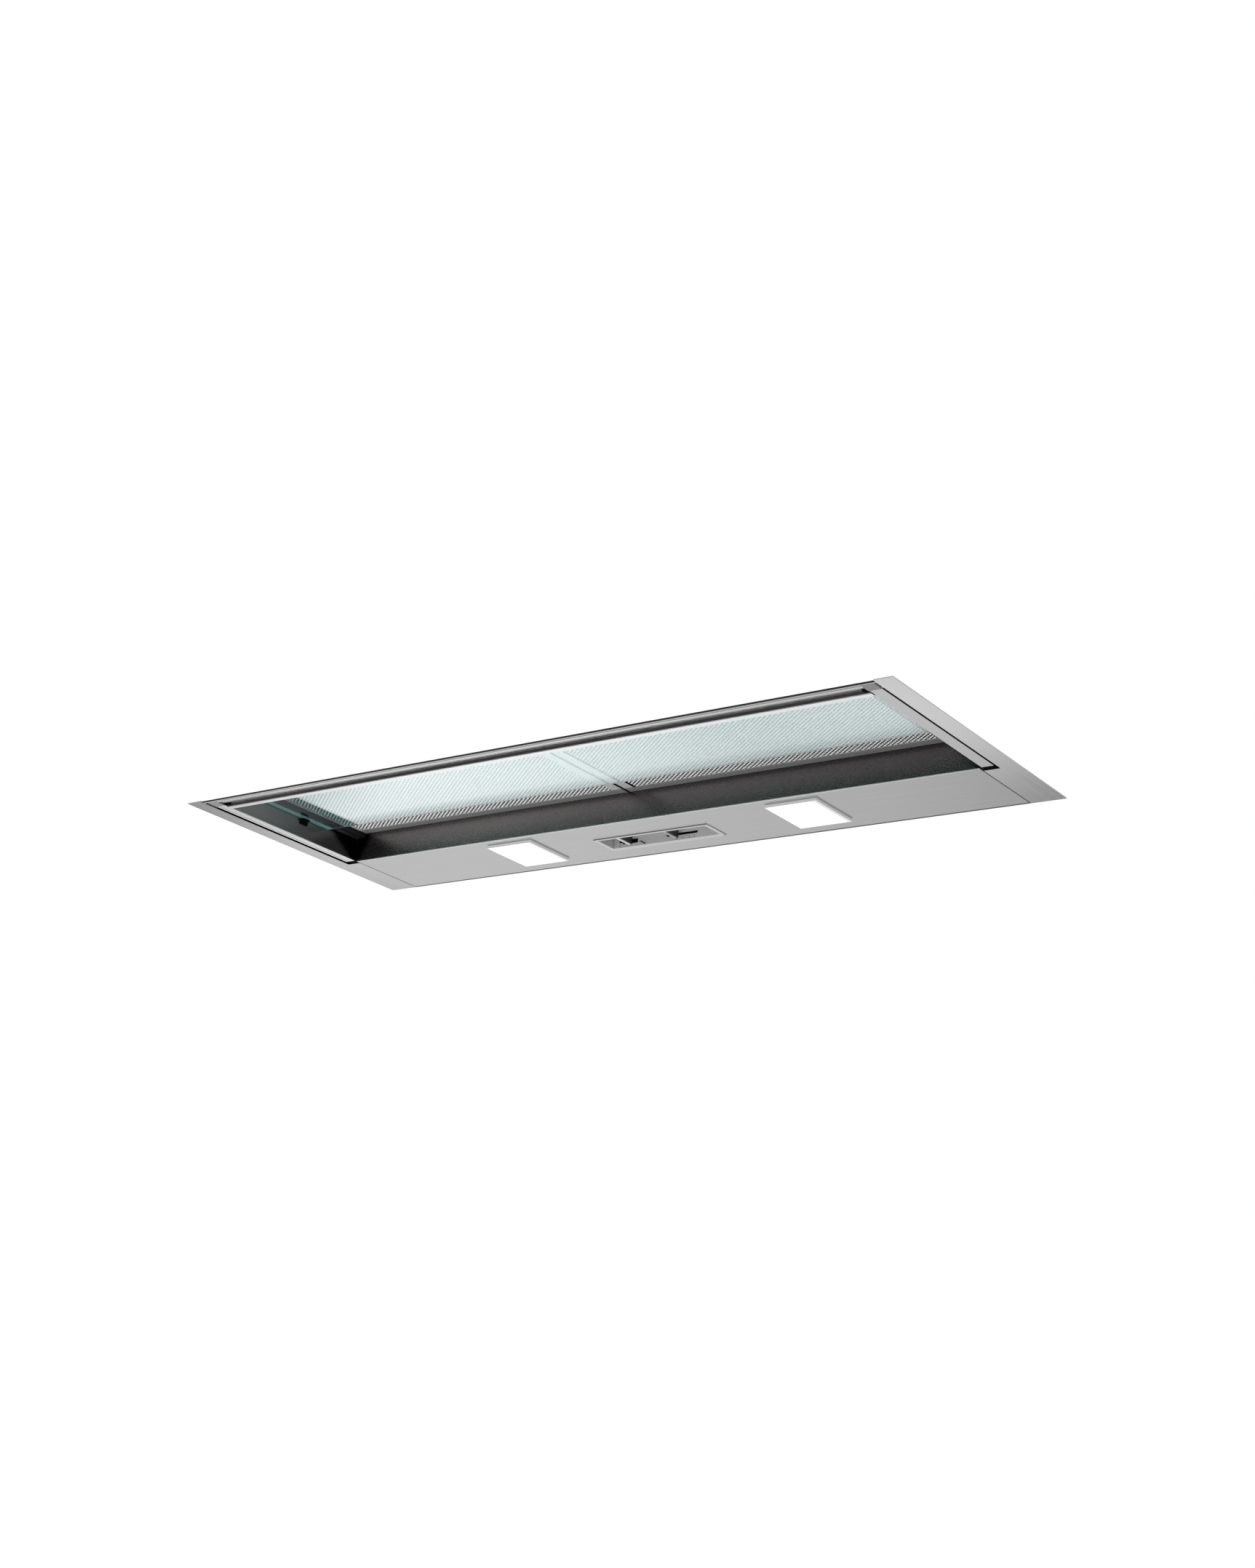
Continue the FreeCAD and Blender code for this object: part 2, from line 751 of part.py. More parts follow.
def visor_glass():
    made = piece("visor_glass")
    reach = half_width - glass_inset
    front = bar_back - size.bar_wall + size.seat_gap * 2
    pad(made, "z", size.glass_level, glass_top, box(-reach, reach, front, glass_back))


# Clip on the visor's side wall that carries the edge of the glass
def glass_clip(name, side):
    made = piece("glass_clip_" + name)
    top = size.glass_level - size.seat_gap
    foot = top - size.clip_height
    face = size.rail_end + size.seat_gap
    inner = face + size.clip_jaw
    nose = face + size.clip_reach
    outline = [(face, foot), (inner, foot), (inner, top - size.clip_jaw), (nose, top - size.clip_jaw)]
    outline += [(nose, top), (face, top)]
    end = clip_start + size.clip_width
    pad(made, "y", clip_start, end, [(inset(side, u), v) for u, v in outline])


# Ball runner: a fixed channel on the web, a moving channel on the visor and a ball cage between them
ball_room = size.ball_radius + size.ball_gap
inner_low = size.runner_bottom + size.runner_sheet + ball_room * 2
inner_high = size.runner_bottom + size.runner_height - size.runner_sheet - ball_room * 2
ball_low = inner_low - ball_room
ball_high = inner_high + ball_room


def channel(back, lips, low, high, thick):
    turn = thick if lips.value > back.value else -thick
    points = [(back, low), (lips, low), (lips, low + thick), (back + turn, low + thick)]
    return points + [(back + turn, high - thick), (lips, high - thick), (lips, high), (back, high)]


def runner(name, side):
    outer = piece("runner_fixed_" + name)
    lips = size.strip_width + size.runner_depth
    top = size.runner_bottom + size.runner_height
    profile = channel(size.strip_width, lips, size.runner_bottom, top, size.runner_sheet)
    pad(outer, "y", size.runner_start, runner_end, [(inset(side, u), v) for u, v in profile])
    inner = piece("runner_moving_" + name)
    profile = channel(size.upright_inset, size.inner_edge, inner_low, inner_high, size.visor_sheet)
    pad(inner, "y", size.runner_start, runner_end, [(inset(side, u), v) for u, v in profile])
    cage = piece("ball_cage_" + name)
    back = size.strip_width + size.runner_sheet + size.cage_sheet / 2
    half = size.cage_sheet / 2
    profile = channel(back, size.ball_inset + half, ball_low - half, ball_high + half, size.cage_sheet)
    cage_end = size.cage_start + size.cage_length
    pad(cage, "y", size.cage_start, cage_end, [(inset(side, u), v) for u, v in profile])
    rows = int(SIZES["ball_rows"])
    seam = 0 if side < 0 else 180
    for level in (ball_low, ball_high):
        for row in range(rows):
            ball = cage.newObject("PartDesign::AdditiveSphere", "ball")
            ball.setExpression("Radius", size.ball_radius.text)
            ball.AttachmentOffset = FreeCAD.Placement(FreeCAD.Vector(), FreeCAD.Rotation(seam, 0, 0))
            ball.setExpression("AttachmentOffset.Base.x", inset(side, size.ball_inset).text)
            y = size.cage_start + size.cage_length * (row + 0.5) / size.ball_rows
            ball.setExpression("AttachmentOffset.Base.y", y.text)
            ball.setExpression("AttachmentOffset.Base.z", level.text)
            attach(cage, ball, "XY_Plane")


# Rubber stop that the visor closes against
def visor_stop(name, side):
    made = piece("visor_stop_" + name)
    nose = shelf_start - size.stop_depth
    heel = shelf_start + size.stop_foot
    step = size.trim_sheet + size.body_sheet * 2
    outline = [(nose, size.trim_sheet), (heel, size.trim_sheet), (heel, step), (shelf_start, step)]
    outline += [(shelf_start, size.stop_height), (nose, size.stop_height)]
    start, end = across(side, size.rail_start + size.seam_gap, size.rail_end - size.seam_gap)
    pad(made, "x", start, end, outline)


# Lamps: a lens that stands proud of the panel and the box behind it
def lamp(name, side):
    x = size.lamp_offset * side
    wide, deep = size.lamp_width / 2, size.lamp_depth / 2
    y0, y1 = lamp_middle - deep, lamp_middle + deep
    lens = piece("lamp_lens_" + name)
    pad(lens, "z", -size.lamp_proud, 0, box(x - wide, x + wide, y0, y1))
    fillet(lens, size.lamp_corner, lambda edge: along(edge, "z"))
    pad(lens, "z", 0, size.lamp_neck, lamp_outline(side, 0))
    housing = piece("lamp_box_" + name)
    low = size.trim_sheet
    top = low + size.lamp_box_height
    wall = size.lamp_box_wall
    pad(housing, "z", low, top, box(x - wide - wall, x + wide + wall, y0 - wall, y1 + wall))
    pocket(housing, "z", low, top - wall, box(x - wide, x + wide, y0, y1))


# Control tub: flange under the panel, sunk pocket and a leaning rear face with two slots
def pocket_face(level):
    rise = (level + size.bezel_sheet) / (size.pocket_roof + size.bezel_sheet)
    return pocket_back - size.pocket_lean * rise


def control_bezel():
    made = piece("control_bezel")
    x = size.control_middle
    wide = size.bezel_width / 2
    pad(made, "z", -size.bezel_sheet, 0, box(x - wide, x + wide, bezel_front, bezel_back))
    wall = size.tub_wall
    roof = size.pocket_roof + wall
    inner = size.pocket_width / 2
    front = pocket_front - wall
    back = pocket_face(size.pocket_roof)
    tub = [(front, 0), (pocket_face(0) + wall, 0), (back + wall, roof), (front, roof)]
    pad(made, "x", x - inner - wall, x + inner + wall, tub)
    hollow = [(pocket_front, -size.bezel_sheet), (pocket_back, -size.bezel_sheet)]
    hollow += [(back, size.pocket_roof), (pocket_front, size.pocket_roof)]
    pocket(made, "x", x - inner, x + inner, hollow)
    high = size.slot_level + size.slot_height
    slots = [(size.light_slot_start, size.light_slot_end), (size.fan_slot_start, size.fan_slot_end)]
    for left, right in slots:
        slot = box(left, right, size.slot_level, high)
        pocket(made, "y", pocket_face(high) - wall, pocket_face(0) + wall, slot)


# Slide knob: a fin in the pocket with a stem through its slot into the switch
def slide_knob(label, rest):
    made = piece(label)
    fit = size.slot_fit
    start, end = rest - size.knob_width / 2, rest + size.knob_width / 2
    low, high = size.knob_bottom, size.knob_top
    fin = [(knob_front, low), (pocket_face(low) - fit, low), (pocket_face(high) - fit, high)]
    fin += [(knob_front, high)]
    pad(made, "x", start, end, fin)
    stem_low, stem_high = size.slot_level + fit, size.slot_level + size.slot_height - fit
    pad(made, "x", start, end, box(knob_front, knob_stem, stem_low, stem_high))


def slide_switch(label, left, right):
    made = piece(label)
    fit = size.seat_gap
    wall = size.tub_wall
    low = size.trim_sheet
    high = low + size.switch_height
    front_low = pocket_back + wall + size.lamp_fit
    knee = size.slot_level - fit
    front_high = pocket_face(knee) + wall + fit * 2
    outline = [(front_low, low), (switch_back, low), (switch_back, high)]
    outline += [(front_high, high), (front_high, knee), (front_low, knee)]
    margin = size.switch_margin
    pad(made, "x", left - margin, right + margin, outline)
    slot = box(left, right, size.slot_level, size.slot_level + size.slot_height)
    pocket(made, "y", pocket_face(knee) + wall, knob_stem + size.slot_fit, slot)


# Blower casing: a volute of three growing quarter turns that blows towards the wall
def volute(shrink, mouth_end):
    y, z, step = axis_y, axis_z, size.scroll_step
    small = size.scroll_radius - shrink
    top = z + step * 3 + size.scroll_radius - shrink
    mouth = z + size.mouth_rise + shrink
    back = y + small
    points = [(back, z), (back, mouth), (mouth_end, mouth), (mouth_end, top), (y + step, top)]
    points += [(y - small - step, z + step), (y, z - small)]
    bends = {4: (y + step, z + step, 1), 5: (y, z + step, 1), 6: (y, z, 1)}
    return points, bends


def scroll_casing():
    made = piece("scroll_casing")
    half = size.scroll_width / 2
    wall = size.scroll_wall
    points, bends = volute(0, box_start)
    pad(made, "x", -half, half, points, bends=bends)
    points, bends = volute(wall, box_start + wall)
    pocket(made, "x", wall - half, half - wall, points, bends=bends)
    pocket(made, "x", half - wall, half, (axis_y, axis_z, size.inlet_radius))
    hub = size.wheel_hub + size.shaft_fit
    pocket(made, "x", -half, wall - half, (axis_y, axis_z, hub))


def inlet_ring():
    made = piece("inlet_ring")
    half = size.scroll_width / 2
    roll = size.inlet_roll
    y, z = axis_y, axis_z
    pad(made, "x", half, half + roll, (y, z, size.inlet_radius + roll * 2), (y, z, size.inlet_radius - roll))
    deep = half - size.inlet_depth
    pad(made, "x", deep, half, (y, z, size.inlet_radius - size.shaft_fit), (y, z, size.inlet_radius - roll))
    face = half.value + SIZES["inlet_roll"]

    def mouth(edge):
        if edge.Curve.TypeId != "Part::GeomCircle" or edge.CenterOfMass.x < face - 0.01:
            return False
        return edge.Curve.Radius < SIZES["inlet_radius"]

    fillet(made, roll * 2 / 3, mouth)


# Fan wheel: back disc with a hub, forward-curved blades and a ring at the inlet end
def fan_wheel():
    made = piece("fan_wheel")
    y, z = axis_y, axis_z
    half = size.scroll_width / 2
    left = size.wheel_gap - half
    right = half - size.wheel_gap
    disc = left + size.wheel_disc
    pad(made, "x", left, disc, (y, z, size.wheel_radius), (y, z, size.shaft_radius))
    pad(made, "x", left, left + size.hub_length, (y, z, size.wheel_hub), (y, z, size.shaft_radius))
    pad(made, "x", right - size.wheel_disc, right, (y, z, size.wheel_radius), (y, z, size.wheel_bore))
    span, bow, thick = size.blade_centre, size.blade_radius, size.blade_sheet

    def meet(reach, curve):
        u = (reach * reach - curve * curve + span * span) / (2 * span)
        return u, root(reach * reach - u * u)

    inside, outside = size.wheel_bore + thick, size.wheel_radius - thick / 2
    outline = [meet(inside, bow), meet(outside, bow), meet(outside, bow + thick), meet(inside, bow + thick)]
    bends = {0: (span, 0, -1), 2: (span, 0, 1)}
    blade = pad(made, "x", left, right, outline, bends=bends, centre=(y, z))
    turn = made.newObject("PartDesign::PolarPattern", "blade_ring")
    turn.Originals = [blade]
    turn.Axis = (blade.Profile[0], ["N_Axis"])
    turn.setExpression("Occurrences", size.blade_count.text)
    made.Tip = turn


def fan_shaft():
    made = piece("fan_shaft")
    half = size.scroll_width / 2
    start = -half - size.motor_length / 2
    end = size.wheel_gap - half + size.hub_length
    pad(made, "x", start, end, (axis_y, axis_z, size.shaft_radius))


def motor():
    made = piece("motor")
    y, z = axis_y, axis_z
    face = -size.scroll_width / 2
    back = face - size.motor_length
    pad(made, "x", back, face, (y, z, size.motor_radius))
    pad(made, "x", face - size.motor_plate, face, (y, z, size.motor_flange))
    pad(made, "x", back - size.motor_boss_length, back, (y, z, size.motor_boss))
    bore_end = face - size.motor_length / 2 - size.shaft_fit
    pocket(made, "x", bore_end, face, (y, z, size.shaft_radius + size.shaft_fit))


# Outlet box between the blower mouth and the round outlet
def outlet_box():
    made = piece("outlet_box")
    half = size.box_width / 2
    wall = size.body_sheet
    pad(made, "y", box_start, box_end, box(-half, half, size.box_bottom, box_top))
    hollow = box(wall - half, half - wall, size.box_bottom + wall, box_top - wall)
    pocket(made, "y", box_start + wall, box_end, hollow)
    low = axis_z + size.mouth_rise + size.scroll_wall
    high = axis_z + size.scroll_step * 3 + size.scroll_radius - size.scroll_wall
    wide = size.scroll_width / 2 - size.scroll_wall
    pocket(made, "y", box_start, box_start + wall, box(-wide, wide, low, high))


# Duct collar: square flange on the rear panel and a round spigot with two damper flaps on one pin
def duct_collar():
    made = piece("duct_collar")
    z = collar_level
    half = size.collar_flange / 2
    bore = size.collar_radius - size.collar_wall
    end = size.depth + size.collar_length
    plate = box(-half, half, z - half, z + half)
    pad(made, "y", size.depth, size.depth + size.collar_plate, plate, (term(0), z, bore))
    pad(made, "y", size.depth, end, (term(0), z, size.collar_radius), (term(0), z, bore))

    def corner(edge):
        return along(edge, "y") and abs(edge.CenterOfMass.x) > half.value - 0.01

    fillet(made, size.collar_wall * 3, corner)


pin_y = size.depth + size.pin_setback


def damper_pin():
    made = piece("damper_pin")
    reach = size.collar_radius - size.collar_wall - size.seat_gap
    pad(made, "z", collar_level - reach, collar_level + reach, (term(0), pin_y, size.pin_radius))


def damper_flap(name, side):
    made = piece("damper_flap_" + name)
    z = collar_level
    disc = size.collar_radius - size.collar_wall - size.flap_gap
    third = disc * 2 / 3
    gap = size.knuckle_gap
    edge = size.knuckle_radius - size.flap_sheet
    knuckles = ((-third / 2 + gap, third / 2 - gap),)
    if side > 0:
        reach = disc - size.pin_radius * 3
        knuckles = ((-reach, -third / 2 - gap), (third / 2 + gap, reach))
    far = root(disc * disc - edge * edge)
    half_disc = [(edge * side, z - far), (edge * side, z + far)]
    start = pin_y - size.flap_sheet / 2
    bends = {1: (term(0), z, -side)}
    pad(made, "y", start, start + size.flap_sheet, half_disc, bends=bends)
    clear = size.knuckle_radius + size.knuckle_fit
    notches = ((-disc, -third / 2), (third / 2, disc)) if side < 0 else ((-third / 2, third / 2),)
    for low, high in notches:
        ends = (term(0), clear * side) if side > 0 else (clear * side, term(0))
        pocket(made, "y", start, start + size.flap_sheet, box(*ends, z + low, z + high))
    for low, high in knuckles:
        pad(made, "z", z + low, z + high, (term(0), pin_y, size.knuckle_radius))
        pocket(made, "z", z + low, z + high, (term(0), pin_y, size.pin_radius + size.knuckle_fit))


# Terminal box with its lid, cable gland in the rear panel, and the motor's capacitor under a strap
def terminal_box():
    made = piece("terminal_box")
    half = size.terminal_width / 2
    x = -lamp_side - size.terminal_gap - half
    y0, y1 = terminal_front, terminal_front + size.terminal_depth
    low, high = size.trim_sheet, size.trim_sheet + size.terminal_height
    wall = size.terminal_wall
    pad(made, "z", low, high, box(x - half, x + half, y0, y1))
    fillet(made, wall, lambda edge: along(edge, "z"))
    pocket(made, "z", low + wall, high, box(x - half + wall, x + half - wall, y0 + wall, y1 - wall))
    lid = piece("terminal_lid")
    pad(lid, "z", high, high + size.lid_sheet, box(x - half, x + half, y0, y1))
    fillet(lid, wall, lambda edge: along(edge, "z"))


def cable_gland():
    made = piece("cable_gland")
    x, z = gland_x, size.gland_level
    face = size.depth - size.trim_sheet
    inside = face - size.body_sheet
    nut = size.gland_nut
    tall = nut * math.sqrt(3) / 2
    hexagon = [(x - nut, z), (x - nut / 2, z - tall), (x + nut / 2, z - tall)]
    hexagon += [(x + nut, z), (x + nut / 2, z + tall), (x - nut / 2, z + tall)]
    pad(made, "y", face, face + size.gland_reach / 2, hexagon)
    pad(made, "y", face, face + size.gland_reach, (x, z, size.gland_radius))
    pad(made, "y", inside - size.gland_reach / 2, face, (x, z, size.gland_radius - size.seat_gap))
    pocket(made, "y", inside - size.gland_reach / 2, face + size.gland_reach, (x, z, size.gland_bore))


def capacitor():
    made = piece("capacitor")
    y = capacitor_y
    z = size.trim_sheet + size.capacitor_radius
    start = lamp_side + size.capacitor_gap
    end = start + size.capacitor_length
    pad(made, "x", start, end, (y, z, size.capacitor_radius))
    strap = piece("capacitor_strap")
    middle = (start + end) / 2
    left, right = middle - size.strap_width / 2, middle + size.strap_width / 2
    radius, thick = size.capacitor_radius + size.seat_gap, size.strap_sheet
    foot = size.trim_sheet + thick
    outer = radius + thick
    tab = outer + size.strap_width
    points = [(y + outer, z), (y - outer, z), (y - outer, foot), (y - tab, foot), (y - tab, size.trim_sheet)]
    points += [(y - radius, size.trim_sheet), (y - radius, z), (y + radius, z), (y + radius, size.trim_sheet)]
    points += [(y + tab, size.trim_sheet), (y + tab, foot), (y + outer, foot)]
    pad(strap, "x", left, right, points, bends={0: (y, z, 1), 6: (y, z, -1)})


for name, side in SIDES:
    side_trim(name, side)
    baffle(name, side)
    filter_rim(name, side)
    filter_net(name, side)
    visor_side(name, side)
    front_cap(name, side)
    glass_clip(name, side)
    runner(name, side)
    visor_stop(name, side)
    lamp(name, side)
    damper_flap(name, side)
control_panel()
recess_wall()
canopy_shell()
rear_panel()
filter_ledge()
visor_bar()
front_seal()
visor_glass()
control_bezel()
slide_knob("light_slider", size.light_rest)
slide_knob("fan_slider", size.fan_rest)
slide_switch("light_switch", size.light_slot_start, size.light_slot_end)
slide_switch("fan_switch", size.fan_slot_start, size.fan_slot_end)
scroll_casing()
inlet_ring()
fan_wheel()
fan_shaft()
motor()
outlet_box()
duct_collar()
damper_pin()
terminal_box()
cable_gland()
capacitor()

doc.recompute()
faults = [made.Label for made in doc.Objects if {"Invalid", "Error"} & set(made.State)]
faults += [cut.Label for cut in cuts if not cut.Shape.Volume < cut.BaseFeature.Shape.Volume - 0.01]
faults += [made.Label for made in nodes if made.Shape.isNull() or not made.Shape.isValid()]
faults += [made.Label for made in nodes if len(made.Shape.Solids) != 1]
if faults:
    raise RuntimeError("not built: " + ", ".join(faults))
os.makedirs("parts", exist_ok=True)
for made in nodes:
    made.Shape.exportStep(f"parts/{made.Label}.step")
print(len(nodes), "pieces written")
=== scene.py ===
import bpy
import math
from mathutils import Matrix, Vector


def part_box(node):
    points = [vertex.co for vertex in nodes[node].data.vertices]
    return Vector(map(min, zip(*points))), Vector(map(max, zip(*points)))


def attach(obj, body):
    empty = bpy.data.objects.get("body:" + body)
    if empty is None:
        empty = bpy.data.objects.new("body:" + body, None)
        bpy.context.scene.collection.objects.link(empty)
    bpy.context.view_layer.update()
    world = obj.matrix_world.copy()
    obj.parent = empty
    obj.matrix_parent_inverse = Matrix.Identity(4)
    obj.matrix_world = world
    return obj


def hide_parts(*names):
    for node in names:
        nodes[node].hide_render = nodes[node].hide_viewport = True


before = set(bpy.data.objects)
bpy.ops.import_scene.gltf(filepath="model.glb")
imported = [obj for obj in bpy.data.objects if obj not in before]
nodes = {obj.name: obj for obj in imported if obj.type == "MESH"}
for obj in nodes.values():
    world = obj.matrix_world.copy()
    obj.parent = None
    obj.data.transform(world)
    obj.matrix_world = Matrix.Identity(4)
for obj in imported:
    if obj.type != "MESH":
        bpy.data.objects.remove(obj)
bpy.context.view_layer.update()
sides = ("left", "right")
facing = 0.9  # least share of an axis in the normal of a face that faces along it
touching = 0.00002  # points nearer than this are one
smoothAngle = math.radians(35)


# selecting and shaping, used by every piece

def onlySelect(piece):
    bpy.ops.object.select_all(action="DESELECT")
    piece.select_set(True)
    bpy.context.view_layer.objects.active = piece


def newBox(name, low, high):
    bpy.ops.object.select_all(action="DESELECT")
    low, high = Vector(low), Vector(high)
    bpy.ops.mesh.primitive_cube_add(size=1, location=(low + high) / 2)
    piece = bpy.context.object
    piece.name = name
    piece.scale = high - low
    bpy.ops.object.transform_apply(location=True, rotation=True, scale=True)
    return piece


def clearPick(piece, kind):
    onlySelect(piece)
    bpy.ops.object.mode_set(mode="EDIT")
    bpy.ops.mesh.select_mode(type=kind)
    bpy.ops.mesh.select_all(action="DESELECT")
    bpy.ops.object.mode_set(mode="OBJECT")


def pickFaces(piece, wanted):
    clearPick(piece, "FACE")
    for face in piece.data.polygons:
        face.select = wanted(face.center, face.normal)
    bpy.ops.object.mode_set(mode="EDIT")


def pickPoints(piece, wanted):
    clearPick(piece, "VERT")
    for point in piece.data.vertices:
        point.select = wanted(point.co)
    bpy.ops.object.mode_set(mode="EDIT")


def leaveEdit():
    bpy.ops.object.mode_set(mode="OBJECT")


def facesDown(centre, normal):
    return normal.z < -facing


def insetFaces(piece, wanted, margin, shift=None):
    pickFaces(piece, wanted)
    bpy.ops.mesh.inset(thickness=margin)
    if shift:
        bpy.ops.transform.translate(value=shift)
    leaveEdit()


def pushFaces(piece, wanted, shift):
    pickFaces(piece, wanted)
    bpy.ops.mesh.extrude_region_move(TRANSFORM_OT_translate={"value": shift})
    leaveEdit()


def movePoints(piece, wanted, shift):
    pickPoints(piece, wanted)
    bpy.ops.transform.translate(value=shift)
    leaveEdit()


def cutAcross(piece, point, outwards, clear=False):
    onlySelect(piece)
    bpy.ops.object.mode_set(mode="EDIT")
    bpy.ops.mesh.select_all(action="SELECT")
    bpy.ops.mesh.bisect(plane_co=point, plane_no=outwards, clear_outer=clear)
    leaveEdit()


def applyModifier(piece, kind, **settings):
    onlySelect(piece)
    modifier = piece.modifiers.new(kind.lower(), kind)
    for key, value in settings.items():
        setattr(modifier, key, value)
    bpy.ops.object.modifier_apply(modifier=modifier.name)


def copyPiece(piece, name, shift):
    twin = piece.copy()
    twin.data = piece.data.copy()
    twin.name = name
    bpy.context.scene.collection.objects.link(twin)
    twin.data.transform(Matrix.Translation(shift))
    return twin


def smooth(piece):
    onlySelect(piece)
    bpy.ops.object.shade_smooth_by_angle(angle=smoothAngle)


# smoothed first, so that the bevel can harden the normals beside it
def roundEdges(piece, width):
    smooth(piece)
    applyModifier(
        piece, "BEVEL", width=width, segments=2, limit_method="ANGLE", harden_normals=True
    )


def dress(piece, body, material, stands=()):
    piece.data.materials.clear()
    piece.data.materials.append(material)
    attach(piece, body)
    if stands:
        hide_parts(*stands)


def paintFaces(piece, material, wanted):
    piece.data.materials.append(material)
    pickFaces(piece, wanted)
    piece.active_material_index = len(piece.data.materials) - 1
    bpy.ops.object.material_slot_assign()
    leaveEdit()


# building blocks of the node materials, whose patterns read Object coordinates

grainDepth = 0.0001
grainDetail = 4.0
warmTint = (1.05, 0.96, 0.96)


def addNode(tree, kind, **settings):
    node = tree.nodes.new(kind)
    for key, value in settings.items():
        setattr(node, key, value)
    return node


def nodeOf(tree, kind):
    return next(node for node in tree.nodes if node.type == kind)


# links what comes from another node, and sets the rest on the socket itself
def feed(tree, node, values):
    for key, value in values.items():
        if isinstance(value, bpy.types.NodeSocket):
            tree.links.new(value, node.inputs[key])
        else:
            node.inputs[key].default_value = value


def startMaterial(name):
    material = bpy.data.materials.new(name)
    material.use_nodes = True
    tree = material.node_tree
    return material, tree, nodeOf(tree, "BSDF_PRINCIPLED")


def even(scale):
    return (scale, scale, scale)


# a single level stands for a grey
def opaque(tone):
    return (*tone, 1) if isinstance(tone, tuple) else (*even(tone), 1)


def warm(level):
    return tuple(level * part for part in warmTint)


def coordinates(tree, stretch):
    place = addNode(tree, "ShaderNodeTexCoord")
    mapping = addNode(tree, "ShaderNodeMapping")
    feed(tree, mapping, {"Scale": stretch, "Vector": place.outputs["Object"]})
    return mapping.outputs["Vector"]


def along(tree, axis, output="Object"):
    place = addNode(tree, "ShaderNodeTexCoord")
    split = addNode(tree, "ShaderNodeSeparateXYZ")
    feed(tree, split, {0: place.outputs[output]})
    return split.outputs[axis]


def calculate(tree, operation, *values):
    node = addNode(tree, "ShaderNodeMath", operation=operation)
    feed(tree, node, dict(enumerate(values)))
    return node.outputs[0]


def distance(tree, axis):
    return calculate(tree, "ABSOLUTE", along(tree, axis))


def isAbove(tree, source, level):
    return calculate(tree, "GREATER_THAN", source, level)


def isBelow(tree, source, level):
    return calculate(tree, "LESS_THAN", source, level)


def isBetween(tree, source, low, high):
    above, below = isAbove(tree, source, low), isBelow(tree, source, high)
    return calculate(tree, "MULTIPLY", above, below)


def rescale(tree, source, low, high, start=0.0, end=1.0):
    spread = addNode(tree, "ShaderNodeMapRange")
    limits = {"From Min": start, "From Max": end, "To Min": low, "To Max": high}
    feed(tree, spread, {"Value": source, **limits})
    return spread.outputs["Result"]


def share(tree, source, start, end):
    return rescale(tree, source, 0.0, 1.0, start, end)


def grainNoise(tree, stretch):
    noise = addNode(tree, "ShaderNodeTexNoise")
    place = coordinates(tree, stretch)
    feed(tree, noise, {"Scale": 1.0, "Detail": grainDetail, "Vector": place})
    return noise.outputs["Fac"]


def toneRamp(tree, source, stops):
    ramp = addNode(tree, "ShaderNodeValToRGB")
    elements = ramp.color_ramp.elements
    for element, (place, tone) in zip((elements[0], elements[1]), (stops[0], stops[-1])):
        element.position = place
        element.color = opaque(tone)
    for place, tone in stops[1:-1]:
        elements.new(place).color = opaque(tone)
    feed(tree, ramp, {"Fac": source})
    return ramp.outputs["Color"]


def colourRamp(tree, source, tones, start=0.3, end=0.7):
    return toneRamp(tree, source, ((start, tones[0]), (end, tones[1])))


def mixColours(tree, factor, first, second):
    mix = addNode(tree, "ShaderNodeMix", data_type="RGBA")
    feed(tree, mix, {"Factor": factor, "A": first, "B": second})
    return mix.outputs["Result"]


def mixShaders(tree, factor, first, second):
    mix = addNode(tree, "ShaderNodeMixShader")
    feed(tree, mix, {0: factor, 1: first.outputs[0], 2: second.outputs[0]})
    return mix.outputs[0]


def addBump(tree, shader, source, strength):
    bump = addNode(tree, "ShaderNodeBump")
    feed(tree, bump, {"Strength": strength, "Distance": grainDepth, "Height": source})
    feed(tree, shader, {"Normal": bump.outputs["Normal"]})


def finishShader(tree, shader, grain, colour, metal, look):
    rough = rescale(tree, grain, *look["rough"])
    feed(tree, shader, {"Base Color": colour, "Metallic": metal, "Roughness": rough})
    addBump(tree, shader, grain, look["bump"])


# finishes with one tone: a noise between two levels drives colour, roughness and bump

def patterned(name, tones, stretch, rough, metal=0.0, bump=0.1, shine=0.5):
    material, tree, shader = startMaterial(name)
    grain = grainNoise(tree, stretch)
    colour = colourRamp(tree, grain, tones)
    finishShader(tree, shader, grain, colour, metal, {"rough": rough, "bump": bump})
    feed(tree, shader, {"Specular IOR Level": shine})
    return material


brushAlongX = (9, 1500, 1500)
brushAlongY = (1500, 9, 1500)
rolledGrain = (60, 600, 600)
streakGrain = (140, 900, 900)
fineGrain = even(900)
castGrain = even(400)
mouldGrain = even(1600)
paintGrain = even(500)
etchedGrain = even(700)
inkGrain = even(2000)
sheetGrain = even(220)
cloudGrain = even(60)
floorGrain = even(3)

etchedTint = ((0.20, 0.40, 0.38), (0.26, 0.48, 0.46))
sideSteel = patterned(
    "sideSteel", (0.37, 0.42), brushAlongY, (0.10, 0.17), metal=1.0, bump=0.03
)
# painted shade: near black, for the baffles beside the filters and the filter ledge, where the
# gap above the visor walls lies in shadow
shadowBlackSheet = patterned("shadowBlackSheet", (0.006, 0.010), fineGrain, (0.55, 0.70), bump=0.06)
meshAlloy = patterned("meshAlloy", (0.88, 0.95), castGrain, (0.42, 0.54), metal=0.15)
runnerSteel = patterned("runnerSteel", (0.48, 0.60), rolledGrain, (0.22, 0.36), metal=1.0)
screwSteel = patterned("screwSteel", (0.46, 0.58), fineGrain, (0.24, 0.36), metal=1.0)
motorPaint = patterned("motorPaint", (0.05, 0.07), paintGrain, (0.34, 0.46), metal=0.2)
# painted highlight: pale, for the bezel's raised edge and the light knob's grip
highlightPlastic = patterned("highlightPlastic", (0.66, 0.72), mouldGrain, (0.34, 0.44))
greyPlastic = patterned("greyPlastic", (0.36, 0.40), mouldGrain, (0.42, 0.52))
